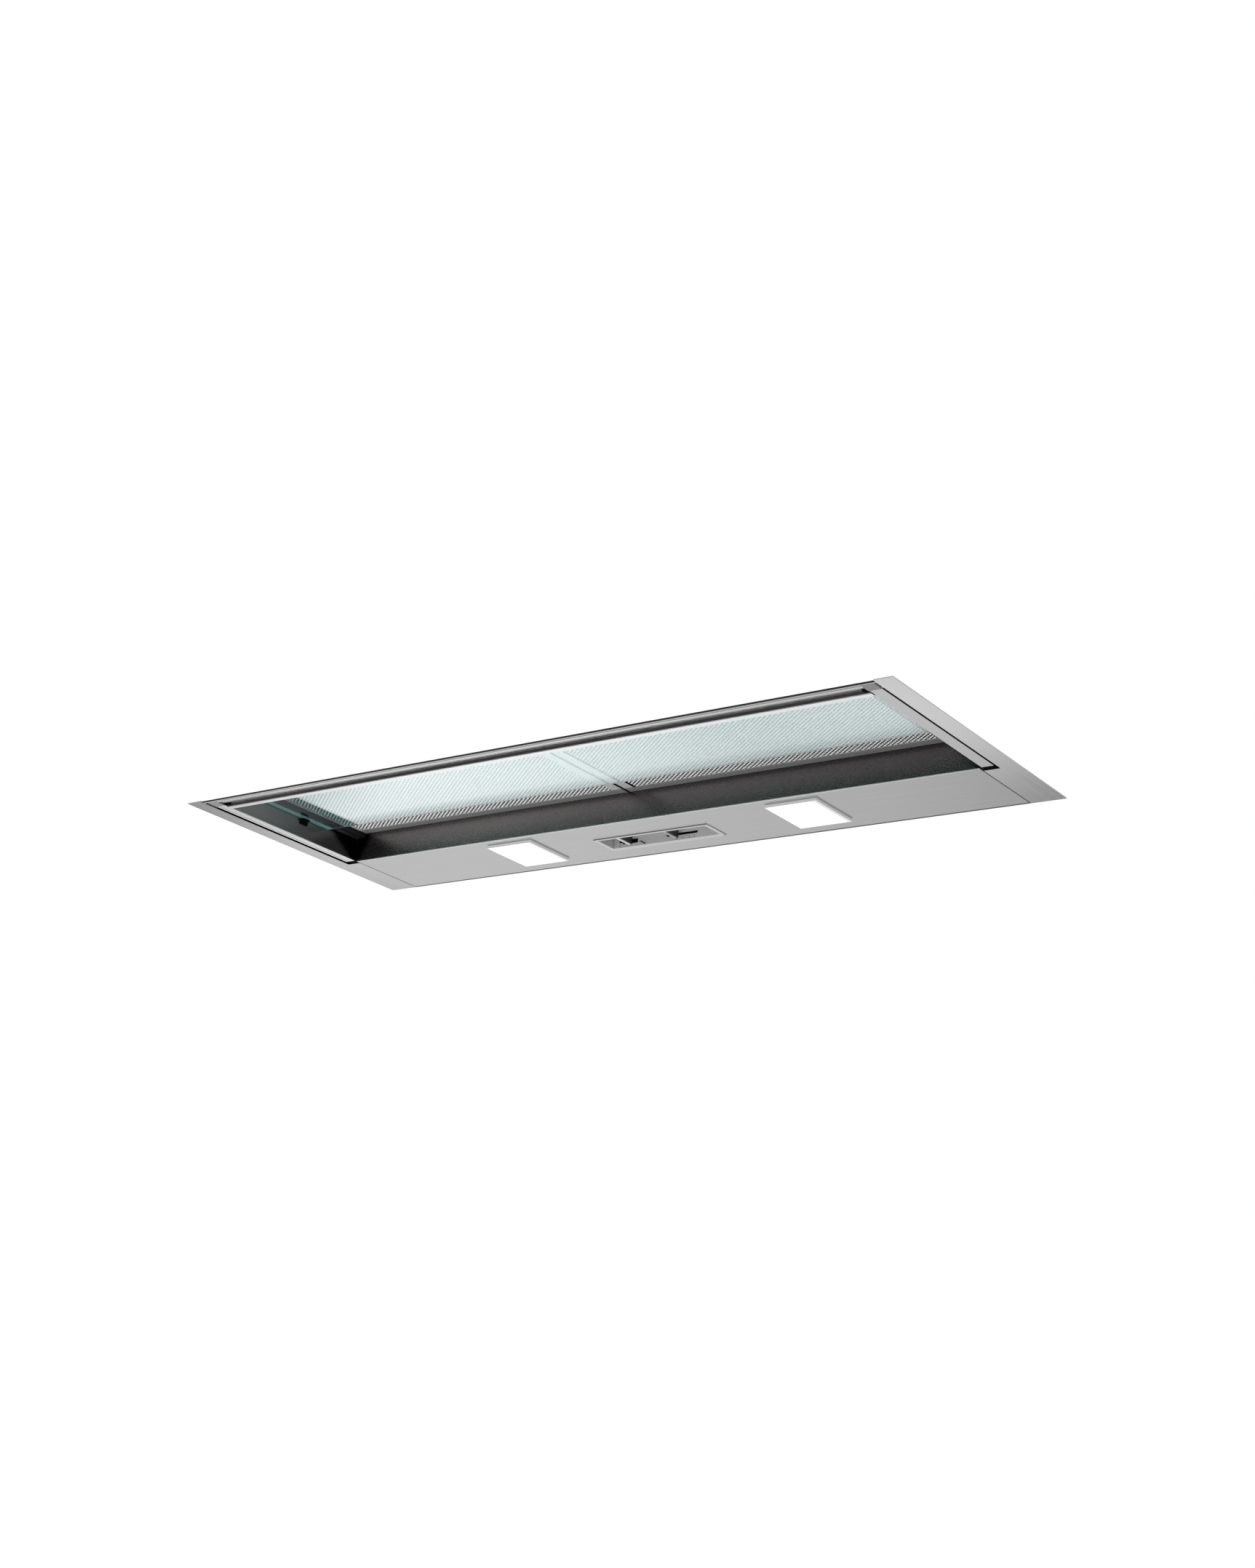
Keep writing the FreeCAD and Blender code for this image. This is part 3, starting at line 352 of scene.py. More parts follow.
capPlastic = patterned("capPlastic", (0.20, 0.24), mouldGrain, (0.42, 0.52))
# near black plastic, painted shade for the knob fins and the pip at the bezel's corner, also
# used for the thin web in the pocket
shadeDarkPlastic = patterned("shadeDarkPlastic", (0.030, 0.042), mouldGrain, (0.40, 0.50))
blackPlastic = patterned("blackPlastic", (0.010, 0.016), mouldGrain, (0.40, 0.52))
blackRubber = patterned("blackRubber", (0.004, 0.007), fineGrain, (0.70, 0.85), shine=0.0)
groundGlass = patterned("groundGlass", etchedTint, etchedGrain, (0.5, 0.6))
markInk = patterned("markInk", (0.05, 0.07), inkGrain, (0.5, 0.6))

# front seal: black lip in front of a bare alloy edge
sealEdge = {
    "share": 0.66,  # of its depth that is black
    "lip": (0.006, 0.012),
    "bare": (0.40, 0.48),
    "rough": (0.50, 0.65),
    "shine": 0.1,
}


def makeSealRubber():
    material, tree, shader = startMaterial("sealRubber")
    low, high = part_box("front_seal")
    grain = grainNoise(tree, fineGrain)
    lip = colourRamp(tree, grain, sealEdge["lip"])
    bare = colourRamp(tree, grain, sealEdge["bare"])
    edge = low.y + (high.y - low.y) * sealEdge["share"]
    behind = isAbove(tree, along(tree, "Y"), edge)
    feed(tree, shader, {
        "Base Color": mixColours(tree, behind, lip, bare),
        "Roughness": rescale(tree, grain, *sealEdge["rough"]),
        "Specular IOR Level": sealEdge["shine"],
    })
    return material


# recess wall: dark sheet, with painted reflection and shade that make it darker to the right,
# and painted black shade in its end corners
wallTone = {
    "levels": [(0.0, 0.148), (0.25, 0.188), (0.5, 0.138), (0.75, 0.112), (1.0, 0.086)],
    "reach": 0.41,
    "speck": (0.10, 0.16),
    "speckShare": 0.08,
    "cornerShade": (0.004, 0.006),
    "metal": 0.92,
    "rough": (0.24, 0.30),
    "bump": 0.01,
}
wallCorner = {"slope": 0.45, "start": 0.4035, "end": 0.4125}


def makeWallSheet():
    material, tree, shader = startMaterial("darkSheet")
    grain = grainNoise(tree, fineGrain)
    # painted reflection and shade: the sheet's level changes across the wall, darker to the
    # right
    across = share(tree, along(tree, "X"), -wallTone["reach"], wallTone["reach"])
    sheet = toneRamp(tree, across, [(place, warm(level)) for place, level in wallTone["levels"]])
    speck = colourRamp(tree, grain, wallTone["speck"])
    colour = mixColours(tree, rescale(tree, grain, 0.0, wallTone["speckShare"]), sheet, speck)
    # painted shade: black towards the wall's end corners, reaching further in higher up
    rise = along(tree, "Z")
    edge = calculate(tree, "MULTIPLY_ADD", rise, wallCorner["slope"], distance(tree, "X"))
    shadedCorner = share(tree, edge, wallCorner["start"], wallCorner["end"])
    colour = mixColours(tree, shadedCorner, colour, colourRamp(tree, grain, wallTone["cornerShade"]))
    finishShader(tree, shader, grain, colour, wallTone["metal"], wallTone)
    return material


# filter rims: bright pressing, its rear rim darker and duller
rimAlloy = {
    "bright": (0.62, 0.74),
    "dull": (0.28, 0.35),
    "lap": 0.0006,
    "metal": 0.55,
    "rough": (0.50, 0.62),
    "bump": 0.1,
}


def makeRimAlloy():
    material, tree, shader = startMaterial("filterAlloy")
    grain = grainNoise(tree, castGrain)
    bright = colourRamp(tree, grain, rimAlloy["bright"])
    dull = colourRamp(tree, grain, rimAlloy["dull"])
    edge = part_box("filter_net_left")[1].y - rimAlloy["lap"]  # where the rear rim starts
    colour = mixColours(tree, isAbove(tree, along(tree, "Y"), edge), bright, dull)
    finishShader(tree, shader, grain, colour, rimAlloy["metal"], rimAlloy)
    return material


# float glass with a painted reflection: a coat, strong at the left and weak at the right, that
# ends short of the rear edge, where the tint is darker as painted shade; and a ground band at
# each end, lighter, as painted light for the lit wall seen through the glass
glassTint = {"body": (0.76, 0.93, 0.92), "rear": (0.50, 0.68, 0.67), "rough": 0.02, "bend": 1.6}
glassSheen = {
    "left": 0.95,
    "right": 0.22,
    "reach": 0.4,
    "fade": (-0.029, -0.012),
    "rough": 0.02,
    "bend": 1.7,
}
litWallBand = {
    "start": 0.4030,
    "tint": ((0.34, 0.74, 0.70), (0.40, 0.84, 0.80)),
    "clear": 0.72,
}


def makeGlass():
    material, tree, shader = startMaterial("tintedGlass")
    left, right, reach = (glassSheen[key] for key in ("left", "right", "reach"))
    # painted reflection: the coat is strong at the left, weak at the right, and fades out near
    # the rear edge
    across = rescale(tree, along(tree, "X"), left, right, -reach, reach)
    ahead = rescale(tree, along(tree, "Y"), 1.0, 0.0, *glassSheen["fade"])
    # painted shade: the tint darkens near the rear edge
    tint = colourRamp(tree, ahead, (glassTint["rear"], glassTint["body"]), 0.0, 1.0)
    # painted light: a lighter, less clear band at each end of the pane, for the lit wall seen
    # through the glass
    ground = colourRamp(tree, grainNoise(tree, paintGrain), litWallBand["tint"])
    border = isAbove(tree, distance(tree, "X"), litWallBand["start"])
    feed(tree, shader, {
        "Base Color": mixColours(tree, border, tint, ground),
        "Roughness": glassTint["rough"],
        "IOR": glassTint["bend"],
        "Transmission Weight": rescale(tree, border, 1.0, litWallBand["clear"]),
        "Coat Weight": calculate(tree, "MULTIPLY", across, ahead),
        "Coat Roughness": glassSheen["rough"],
        "Coat IOR": glassSheen["bend"],
    })
    path = addNode(tree, "ShaderNodeLightPath")
    clear = addNode(tree, "ShaderNodeBsdfTransparent")
    feed(tree, clear, {"Color": opaque(glassTint["body"])})
    surface = mixShaders(tree, path.outputs["Is Shadow Ray"], shader, clear)
    feed(tree, nodeOf(tree, "OUTPUT_MATERIAL"), {"Surface": surface})
    return material


# lamp plastics, which glow a little
diffuser = {"rough": (0.3, 0.4), "light": 1.0}


def makeDiffuser(name, tones, glow):
    material, tree, shader = startMaterial(name)
    cloud = grainNoise(tree, cloudGrain)
    feed(tree, shader, {
        "Base Color": colourRamp(tree, cloud, tones),
        "Roughness": rescale(tree, cloud, *diffuser["rough"]),
        "Emission Color": opaque(diffuser["light"]),
        "Emission Strength": glow,
    })
    return material


# one pressing with two finishes: one below a level, another above it. On the visor both are the
# same steel: painted light on the rails below the level, painted shade on the walls above it
visorFold = {
    "level": 0.0046,
    "below": (0.56, 0.64),
    "above": (0.13, 0.145),
    "metal": (0.92, 1.0),
    "rough": (0.22, 0.28),
    "bump": 0.04,
}
bezelFold = {
    "level": 0.0024,
    "below": (0.56, 0.64),
    "above": (0.50, 0.54),
    "metal": (0.0, 1.0),
    "rough": (0.32, 0.44),
    "bump": 0.04,
}
# the visor's left rail has a pressed line along it; its right rail is painted duller, as painted
# shade
visorRail = {"line": (-0.4225, -0.4215), "tone": (0.10, 0.14), "right": (0.44, 0.50)}
# its walls are painted lighter at the front as painted light, fading towards the rear, with
# painted black shade in the rear corner
visorWall = {
    "front": (warm(0.34), warm(0.38)),
    "fade": (-0.15, -0.01),
    "slope": 1.57,
    "start": 0.040,
    "end": 0.052,
    "cornerShade": (0.004, 0.006),
}


def visorTones(tree, grain, above, below):
    across, deep = along(tree, "X"), along(tree, "Y")
    line = colourRamp(tree, grain, visorRail["tone"])
    below = mixColours(tree, isBetween(tree, across, *visorRail["line"]), below, line)
    # painted shade: the right rail darker than the left
    right = colourRamp(tree, grain, visorRail["right"])
    below = mixColours(tree, isAbove(tree, across, 0.0), below, right)
    # painted light: the walls lighter at the front, fading towards the rear
    front = colourRamp(tree, grain, visorWall["front"])
    above = mixColours(tree, share(tree, deep, *visorWall["fade"]), front, above)
    # painted shade: black in the rear corner, reaching further forward higher up
    edge = calculate(tree, "MULTIPLY_ADD", along(tree, "Z"), visorWall["slope"], deep)
    shadedCorner = share(tree, edge, visorWall["start"], visorWall["end"])
    above = mixColours(tree, shadedCorner, above, colourRamp(tree, grain, visorWall["cornerShade"]))
    return above, below


def makeFolded(name, fold, stretch):
    material, tree, shader = startMaterial(name)
    grain = grainNoise(tree, stretch)
    above = colourRamp(tree, grain, fold["above"])
    below = colourRamp(tree, grain, fold["below"])
    # painted light and shade on the visor's rails and walls
    if fold is visorFold:
        above, below = visorTones(tree, grain, above, below)
    under = isBelow(tree, along(tree, "Z"), fold["level"])
    metal = rescale(tree, under, *fold["metal"])
    finishShader(tree, shader, grain, mixColours(tree, under, above, below), metal, fold)
    return material


# panel: a painted highlight along its front fold, and dark along its rear edge at the wall and
# at its ends
panelTone = {
    "plain": (0.46, 0.54),
    "bright": (0.86, 0.92),
    "dark": (0.06, 0.09),
    "rough": (0.30, 0.42),
    "bump": 0.08,
}
panelEdges = {"front": 0.0490, "rear": 0.1508, "top": 0.0050, "side": 0.4096}


def makePanelSteel():
    material, tree, shader = startMaterial("trimSteel")
    grain = grainNoise(tree, brushAlongX)
    plain, bright, dark = (
        colourRamp(tree, grain, panelTone[key]) for key in ("plain", "bright", "dark")
    )
    deep = along(tree, "Y")
    low = isBelow(tree, along(tree, "Z"), panelEdges["top"])
    rear = calculate(tree, "MULTIPLY", low, isAbove(tree, deep, panelEdges["rear"]))
    end = isAbove(tree, distance(tree, "X"), panelEdges["side"])
    # painted highlight: brighter along the front fold
    colour = mixColours(tree, isBelow(tree, deep, panelEdges["front"]), plain, bright)
    colour = mixColours(tree, end, mixColours(tree, rear, colour, dark), dark)
    finishShader(tree, shader, grain, colour, 1.0, panelTone)
    return material


# pull bar: bright extrusion, with painted shade in its finger groove, darker towards the mouth,
# and a band of painted shade along each edge of the groove, from tip to start and from end to
# heel
barTone = {
    "alloy": (0.58, 0.66),
    "dark": (0.07, 0.10),
    "dull": (0.15, 0.34),
    "dim": (0.09, 0.20),
    "rough": (0.14, 0.24),
    "bump": 0.05,
}
barGroove = {"tip": -0.1694, "start": -0.1666, "end": -0.1597, "heel": -0.1580}
barLevels = {"mouth": 0.0032, "split": 0.0062, "tipTop": 0.0085}


def makeBarAlloy():
    material, tree, shader = startMaterial("barAlloy")
    grain, streaks = grainNoise(tree, brushAlongX), grainNoise(tree, streakGrain)
    alloy, dark = (colourRamp(tree, grain, barTone[key]) for key in ("alloy", "dark"))
    dull, dim = (colourRamp(tree, streaks, barTone[key]) for key in ("dull", "dim"))
    deep, level = along(tree, "Y"), along(tree, "Z")
    tip, start, end, heel = (barGroove[key] for key in ("tip", "start", "end", "heel"))
    mouth = isAbove(tree, level, barLevels["mouth"])
    inside = calculate(tree, "MULTIPLY", isBetween(tree, deep, start, end), mouth)
    low = isBelow(tree, level, barLevels["tipTop"])
    front = calculate(tree, "MULTIPLY", isBetween(tree, deep, tip, start), low)
    edges = calculate(tree, "MAXIMUM", front, isBetween(tree, deep, end, heel))
    # painted shade: the groove and its edge bands dark and not metal
    groove = mixColours(tree, isAbove(tree, level, barLevels["split"]), dark, dull)
    colour = mixColours(tree, edges, mixColours(tree, inside, alloy, groove), dim)
    metal = rescale(tree, calculate(tree, "MAXIMUM", inside, edges), 1.0, 0.0)
    finishShader(tree, shader, grain, colour, metal, barTone)
    return material


# hot-dip zinc outside with its spangle; where asked, painted shade inside, where the sheet faces
# down
zincCoat = {
    "spangle": 130.0,
    "outside": (0.41, 0.47),
    "inside": (0.012, 0.0168),
    "down": -0.05,
    "metal": 0.7,
    "rough": (0.36, 0.46),
    "bump": 0.05,
}


def makeZinc(name, insideDark):
    material, tree, shader = startMaterial(name)
    cells = addNode(tree, "ShaderNodeTexVoronoi")
    feed(tree, cells, {"Scale": zincCoat["spangle"], "Vector": coordinates(tree, even(1))})
    tone = addNode(tree, "ShaderNodeSeparateColor")
    feed(tree, tone, {0: cells.outputs["Color"]})
    spangle = tone.outputs["Red"]
    colour = colourRamp(tree, spangle, zincCoat["outside"], 0.0, 1.0)
    metal = zincCoat["metal"]
    # painted shade: faces that face down are dark and not metal
    if insideDark:
        shade = colourRamp(tree, spangle, zincCoat["inside"], 0.0, 1.0)
        inside = isBelow(tree, along(tree, "Z", "Normal"), zincCoat["down"])
        colour = mixColours(tree, inside, colour, shade)
        metal = rescale(tree, inside, metal, 0.0)
    rough = rescale(tree, spangle, *zincCoat["rough"])
    feed(tree, shader, {"Base Color": colour, "Metallic": metal, "Roughness": rough})
    addBump(tree, shader, grainNoise(tree, sheetGrain), zincCoat["bump"])
    return material


tintedGlass = makeGlass()
darkSheet = makeWallSheet()
sealRubber = makeSealRubber()
filterAlloy = makeRimAlloy()
lampOpal = makeDiffuser("lampOpal", (0.90, 0.95), 1.2)
lampRim = makeDiffuser("lampRim", (0.54, 0.58), 0.22)
visorSheet = makeFolded("visorSheet", visorFold, brushAlongY)
controlSheet = makeFolded("controlSheet", bezelFold, brushAlongX)
trimSteel = makePanelSteel()
barAlloy = makeBarAlloy()
zincSheet = makeZinc("zincSheet", False)
canopySheet = makeZinc("canopySheet", True)
print("materials made")


def both(*names):
    return [name + "_" + side for name in names for side in sides]


# CAD nodes that stay, by finish
runnerNodes = both("runner_fixed", "runner_moving", "ball_cage")
blackNodes = both("damper_flap") + ["light_switch", "fan_switch", "fan_wheel", "cable_gland"]
finishes = [
    (trimSteel, ["control_panel"]),
    (sideSteel, both("side_trim")),
    (visorSheet, both("visor_side")),
    (darkSheet, ["recess_wall"]),
    (shadowBlackSheet, both("side_baffle") + ["filter_ledge"]),
    (canopySheet, ["canopy_shell"]),
    (zincSheet, ["rear_panel", "outlet_box", "scroll_casing", "inlet_ring"]),
    (barAlloy, ["visor_front_bar"]),
    (filterAlloy, both("filter_frame")),
    (runnerSteel, runnerNodes + ["fan_shaft", "damper_pin", "capacitor_strap"]),
    (capPlastic, both("front_cap")),
    (controlSheet, ["control_bezel"]),
    (greyPlastic, both("lamp_box") + ["duct_collar", "terminal_box", "terminal_lid"]),
    (blackPlastic, blackNodes),
    (blackRubber, both("visor_stop", "glass_clip")),
    (sealRubber, ["front_seal"]),
    (motorPaint, ["motor", "capacitor"]),
]
for material, names in finishes:
    for name in names:
        nodes[name].data.materials.clear()
        nodes[name].data.materials.append(material)
print("CAD nodes dressed")

# expanded grease mesh: diamonds with tilted strands, cut to the opening of the filter's rim
greaseMesh = {
    "across": 0.0062,
    "deep": 0.0047,
    "strand": 0.0017,
    "sheet": 0.00026,
    "tilt": 0.0004,
    "tiltStart": 0.00005,
    "chamfer": 0.0003,
    "level": -0.0005,
    "slit": 0.0022,
}


def makeDiamond(name, corner):
    across, deep, strand = (greaseMesh[key] for key in ("across", "deep", "strand"))
    bpy.ops.object.select_all(action="DESELECT")
    bpy.ops.mesh.primitive_circle_add(
        vertices=4, radius=0.5, fill_type="NGON", location=corner
    )
    piece = bpy.context.object
    piece.name = name
    piece.scale = (across, deep, 1)
    bpy.ops.object.transform_apply(location=True, rotation=True, scale=True)
    bpy.ops.object.mode_set(mode="EDIT")
    bpy.ops.mesh.select_all(action="SELECT")
    bpy.ops.mesh.inset(thickness=strand / 2)
    bpy.ops.mesh.delete(type="FACE")
    leaveEdit()
    middle = Vector(corner)
    reachX, reachY = across / 2 - strand / 4, deep / 2 - strand / 4
    pickPoints(
        piece,
        lambda point: abs(point.y - middle.y) < touching and abs(point.x - middle.x) < reachX,
    )
    bpy.ops.mesh.bevel(affect="VERTICES", offset=greaseMesh["chamfer"], segments=1)
    leaveEdit()
    for way in (-1, 1):
        movePoints(
            piece,
            lambda point: greaseMesh["tiltStart"] < way * (point.y - middle.y) < reachY,
            (0, 0, -way * greaseMesh["tilt"]),
        )
    return piece


def makeGreaseMesh(side):
    low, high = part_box("filter_net_" + side)
    if side == "right":
        low.x += greaseMesh["slit"]  # this mesh stops short of the rim at the seam
    across, deep = greaseMesh["across"], greaseMesh["deep"]
    corner = (low.x - across / 2, low.y - deep / 2, low.z + greaseMesh["level"])
    piece = makeDiamond("greaseMesh_" + side, corner)
    wide = math.ceil((high.x - low.x) / across) + 2
    rows = math.ceil((high.y - low.y) / deep) + 2
    steps = [((across, 0, 0), wide), ((across / 2, deep / 2, 0), 2), ((0, deep, 0), rows)]
    for offset, count in steps:
        applyModifier(
            piece,
            "ARRAY",
            count=count,
            use_relative_offset=False,
            use_constant_offset=True,
            constant_offset_displace=offset,
            use_merge_vertices=True,
            merge_threshold=touching,
        )
    cuts = [(low, (-1, 0, 0)), (low, (0, -1, 0)), (high, (1, 0, 0)), (high, (0, 1, 0))]
    for point, outwards in cuts:
        cutAcross(piece, point, outwards, clear=True)
    applyModifier(piece, "SOLIDIFY", thickness=greaseMesh["sheet"], offset=0)
    dress(piece, "housing", meshAlloy, ["filter_net_" + side])
    print(piece.name, len(piece.data.polygons), "faces")


for side in sides:
    makeGreaseMesh(side)

# black strips as painted shade: one closes the seam between the filters, one the slit beside the
# right mesh, so both show as dark gaps
seamStrip = {"proud": 0.00025, "tall": 0.0021, "lap": 0.0005, "round": 0.0001}


def makeStrip(name, low, high):
    piece = newBox(name, low, high)
    insetFaces(piece, facesDown, seamStrip["lap"])
    roundEdges(piece, seamStrip["round"])
    # painted shade: black where the gap shows dark
    dress(piece, "housing", blackRubber)


def makeSeamStrips():
    left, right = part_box("filter_frame_left"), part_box("filter_frame_right")
    lap, foot = seamStrip["lap"], left[0].z - seamStrip["proud"]
    top = foot + seamStrip["tall"]
    low = (left[1].x - lap, left[0].y, foot)
    makeStrip("seamStrip", low, (right[0].x + lap, right[1].y, top))
    low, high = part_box("filter_net_right")
    end = low.x + greaseMesh["slit"]
    makeStrip("slitStrip", (low.x, low.y, foot), (end, high.y, top))


makeSeamStrips()
print("seam closed")

# glass pane with ground edges
glassPane = {"arris": 0.0005}


def makeGlassPane():
    low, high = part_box("visor_glass")
    piece = newBox("glassPane", low, high)
    roundEdges(piece, glassPane["arris"])
    dress(piece, "visor", tintedGlass, ["visor_glass"])
    paintFaces(
        piece,
        groundGlass,
        lambda centre, normal: abs(normal.x) > facing or normal.y > facing,
    )


makeGlassPane()
print("glass made")

# lamp: grey rim with an opal face let into it, whose margins differ; the rim's grey is painted
# shade for the lens's sides, widest on the right
lampFace = {
    "rim": 0.0004,
    "right": 0.0046,
    "front": 0.0018,
    "rear": 0.0016,
    "tall": 0.003,
    "deep": 0.002,
    "sunk": 0.0002,
    "back": 0.0019,
    "play": 0.0001,
    "inside": 0.01,
    "round": 0.0002,
}


def makeLamp(side):
    node = "lamp_lens_" + side
    low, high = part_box(node)
    thin, play, inside = (lampFace[key] for key in ("rim", "play", "inside"))
    rim = newBox("lampRim_" + side, low, (high.x, high.y, low.z + lampFace["tall"]))
    insetFaces(rim, facesDown, thin)
    margins = (
        ("right", 0, high.x - thin, Vector((-1, 0, 0))),
        ("front", 1, low.y + thin, Vector((0, 1, 0))),
        ("rear", 1, high.y - thin, Vector((0, -1, 0))),
    )
    for edge, axis, place, way in margins:
        shift = way * (lampFace[edge] - thin)
        movePoints(rim, lambda point: abs(point[axis] - place) < touching, shift)
    right, front, rear = (lampFace[key] for key in ("right", "front", "rear"))

    def inFace(centre, normal):
        across = low.x + inside < centre.x < high.x - right
        deep = low.y + inside < centre.y < high.y - inside
        return facesDown(centre, normal) and across and deep

    pushFaces(rim, inFace, (0, 0, lampFace["deep"]))
    roundEdges(rim, lampFace["round"])
    # painted shade: the rim is grey where the lens's sides fall in shade
    dress(rim, "housing", lampRim, [node])
    face = newBox(
        "lampOpal_" + side,
        (low.x + thin + play, low.y + front + play, low.z + lampFace["sunk"]),
        (high.x - right - play, high.y - rear - play, low.z + lampFace["back"]),
    )
    roundEdges(face, lampFace["round"])
    dress(face, "housing", lampOpal)


for side in sides:
    makeLamp(side)
print("lamps made")

# black plugs that close the ends of the pull bar's groove
groovePlug = {
    "long": 0.006,
    "front": -0.1664,
    "back": -0.1599,
    "foot": 0.0040,
    "top": 0.0088,
    "margin": 0.0008,
    "dent": 0.0015,
    "round": 0.0003,
}


def makeGroovePlugs():
    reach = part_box("visor_front_bar")[1].x
    low = (reach - groovePlug["long"], groovePlug["front"], groovePlug["foot"])
    plug = newBox("groovePlug_right", low, (reach, groovePlug["back"], groovePlug["top"]))
    insetFaces(
        plug,
        lambda centre, normal: normal.x < -facing,
        groovePlug["margin"],
        (groovePlug["dent"], 0, 0),
    )
    roundEdges(plug, groovePlug["round"])
    twin = copyPiece(plug, "groovePlug_left", (groovePlug["long"] - 2 * reach, 0, 0))
    for piece in (plug, twin):
        dress(piece, "visor", blackRubber)


makeGroovePlugs()
print("groove ends plugged")

# slide knob: a fin with a stem through the slot, painted dark as shade, and a grip along its
# lower edge, painted paler as its lit edge
slideKnob = {
    "face": 0.1172,
    "stemLow": 0.0075,
    "stemHigh": 0.0102,
    "foot": 0.0031,
    "grip": 0.0012,
    "setback": 0.002,
    "margin": 0.0004,
    "round": 0.0002,
}


def makeKnob(name, body, gripLitTone):
    low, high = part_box(name + "_slider")
    face, foot, edge = (slideKnob[key] for key in ("face", "foot", "round"))
    stemLow, stemHigh = slideKnob["stemLow"], slideKnob["stemHigh"]
    top = foot + slideKnob["grip"]
    fin = newBox(name + "Fin", (low.x, low.y, top), (high.x, face, high.z))
    for level in (stemLow, stemHigh):
        cutAcross(fin, (0, 0, level), (0, 0, 1))
    pushFaces(
        fin,
        lambda centre, normal: normal.y > facing and stemLow < centre.z < stemHigh,
        (0, high.y - face, 0),
    )
    roundEdges(fin, edge)
    # painted shade: the fin dark
    dress(fin, body, shadeDarkPlastic, [name + "_slider"])
    back = face - slideKnob["setback"]
    grip = newBox(name + "Grip", (low.x, low.y, foot), (high.x, back, top))
    insetFaces(grip, facesDown, slideKnob["margin"], (0, 0, -edge))
    roundEdges(grip, edge)
    grip.data.transform(Matrix.Translation((0, 0, edge)))
    # painted light: the grip paler, as the fin's lit lower edge
    dress(grip, body, gripLitTone)


makeKnob("light", "light_knob", highlightPlastic)
makeKnob("fan", "fan_knob", greyPlastic)
print("knobs made")

# plain figures on the pocket's rear face, one under each place of a knob
marks = {"size": 0.0030, "deep": 0.00008, "face": 0.11783, "foot": 0.0030}
markPlaces = [
    ("0", -0.0745), ("1", -0.0647),
    ("0", 0.0032), ("1", 0.0115), ("2", 0.0198), ("3", 0.0263),
]


def makeMarks():
    for index, (figure, across) in enumerate(markPlaces):
        bpy.ops.object.select_all(action="DESELECT")
        bpy.ops.object.text_add()
        piece = bpy.context.object
        piece.name = "mark_" + str(index)
        piece.data.body = figure
        piece.data.size = marks["size"]
        piece.data.align_x = "CENTER"
        piece.data.extrude = marks["deep"]
        bpy.ops.object.convert(target="MESH")
        piece.rotation_euler = (math.radians(90), 0, 0)
        piece.location = (across, marks["face"], marks["foot"])
        bpy.ops.object.transform_apply(location=True, rotation=True, scale=True)
        dress(piece, "housing", markInk)


makeMarks()
print("marks made")

# bezel: a raised edge round the plate, painted pale as a highlight, with a front bar painted
# duller where the highlight is weak; a black plate behind the light knob, painted shade for the
# slot and the fin's shadow; a thin web in the pocket; and a dark pip at one corner, for a
# release notch and, as painted shade, the small shadow there
bezelEdge = {"wide": 0.0008, "proud": 0.0001, "tall": 0.0008, "dull": 0.0012, "round": 0.0003}
slotShade = {
    "low": (-0.0705, 0.1173, 0.0058),
    "high": (-0.0500, 0.1183, 0.0132),
    "margin": 0.0005,
    "dent": 0.0001,
    "round": 0.00005,
}
pocketWeb = {
    "low": (-0.0403, 0.107, 0.0026),
    "high": (-0.0397, 0.1179, 0.0042),
    "lean": 0.003,
    "round": 0.0001,
}
releasePip = {
    "low": (-0.0022, -0.0018, -0.0004),
    "high": (-0.0010, -0.0007, 0.0002),
    "round": 0.0007 / 3,
}


def makeBezelEdge():
    low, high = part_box("control_bezel")
    foot, top = low.z - bezelEdge["proud"], low.z + bezelEdge["tall"]
    piece = newBox("bezelEdge", (low.x, low.y, foot), (high.x, high.y, top))
    pickFaces(piece, lambda centre, normal: abs(normal.z) > facing)
    bpy.ops.mesh.delete(type="FACE")
    leaveEdit()
    applyModifier(
        piece, "SOLIDIFY", thickness=bezelEdge["wide"], offset=-1, use_even_offset=True
    )
    roundEdges(piece, bezelEdge["round"])
    dress(piece, "housing", highlightPlastic)
    # painted highlight: the edge pale, its front bar grey
    bar = low.y + bezelEdge["dull"]
    paintFaces(piece, greyPlastic, lambda centre, normal: centre.y < bar)


def makeSlotShade():
    piece = newBox("slotShade", slotShade["low"], slotShade["high"])
    insetFaces(
        piece,
        lambda centre, normal: normal.y < -facing,
        slotShade["margin"],
        (0, slotShade["dent"], 0),
    )
    roundEdges(piece, slotShade["round"])
    # painted shade: black where the slot and the fin's shadow show dark
    dress(piece, "housing", blackRubber)


def makePocketWeb():
    front, top = pocketWeb["low"][1] + touching, pocketWeb["high"][2] - touching
    piece = newBox("pocketWeb", pocketWeb["low"], pocketWeb["high"])
    movePoints(
        piece,
        lambda point: point.y < front and point.z > top,
        (0, pocketWeb["lean"], 0),
    )
    roundEdges(piece, pocketWeb["round"])
    dress(piece, "housing", shadeDarkPlastic)


def makeReleasePip():
    low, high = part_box("control_bezel")
    corner = Vector((high.x, high.y, low.z))
    start, end = Vector(releasePip["low"]), Vector(releasePip["high"])
    piece = newBox("releasePip", corner + start, corner + end)
    roundEdges(piece, releasePip["round"])
    # painted shade: the pip is dark for the small shadow at the bezel's corner
    dress(piece, "housing", shadeDarkPlastic)


makeBezelEdge()
makeSlotShade()
makePocketWeb()
makeReleasePip()
print("bezel trimmed")

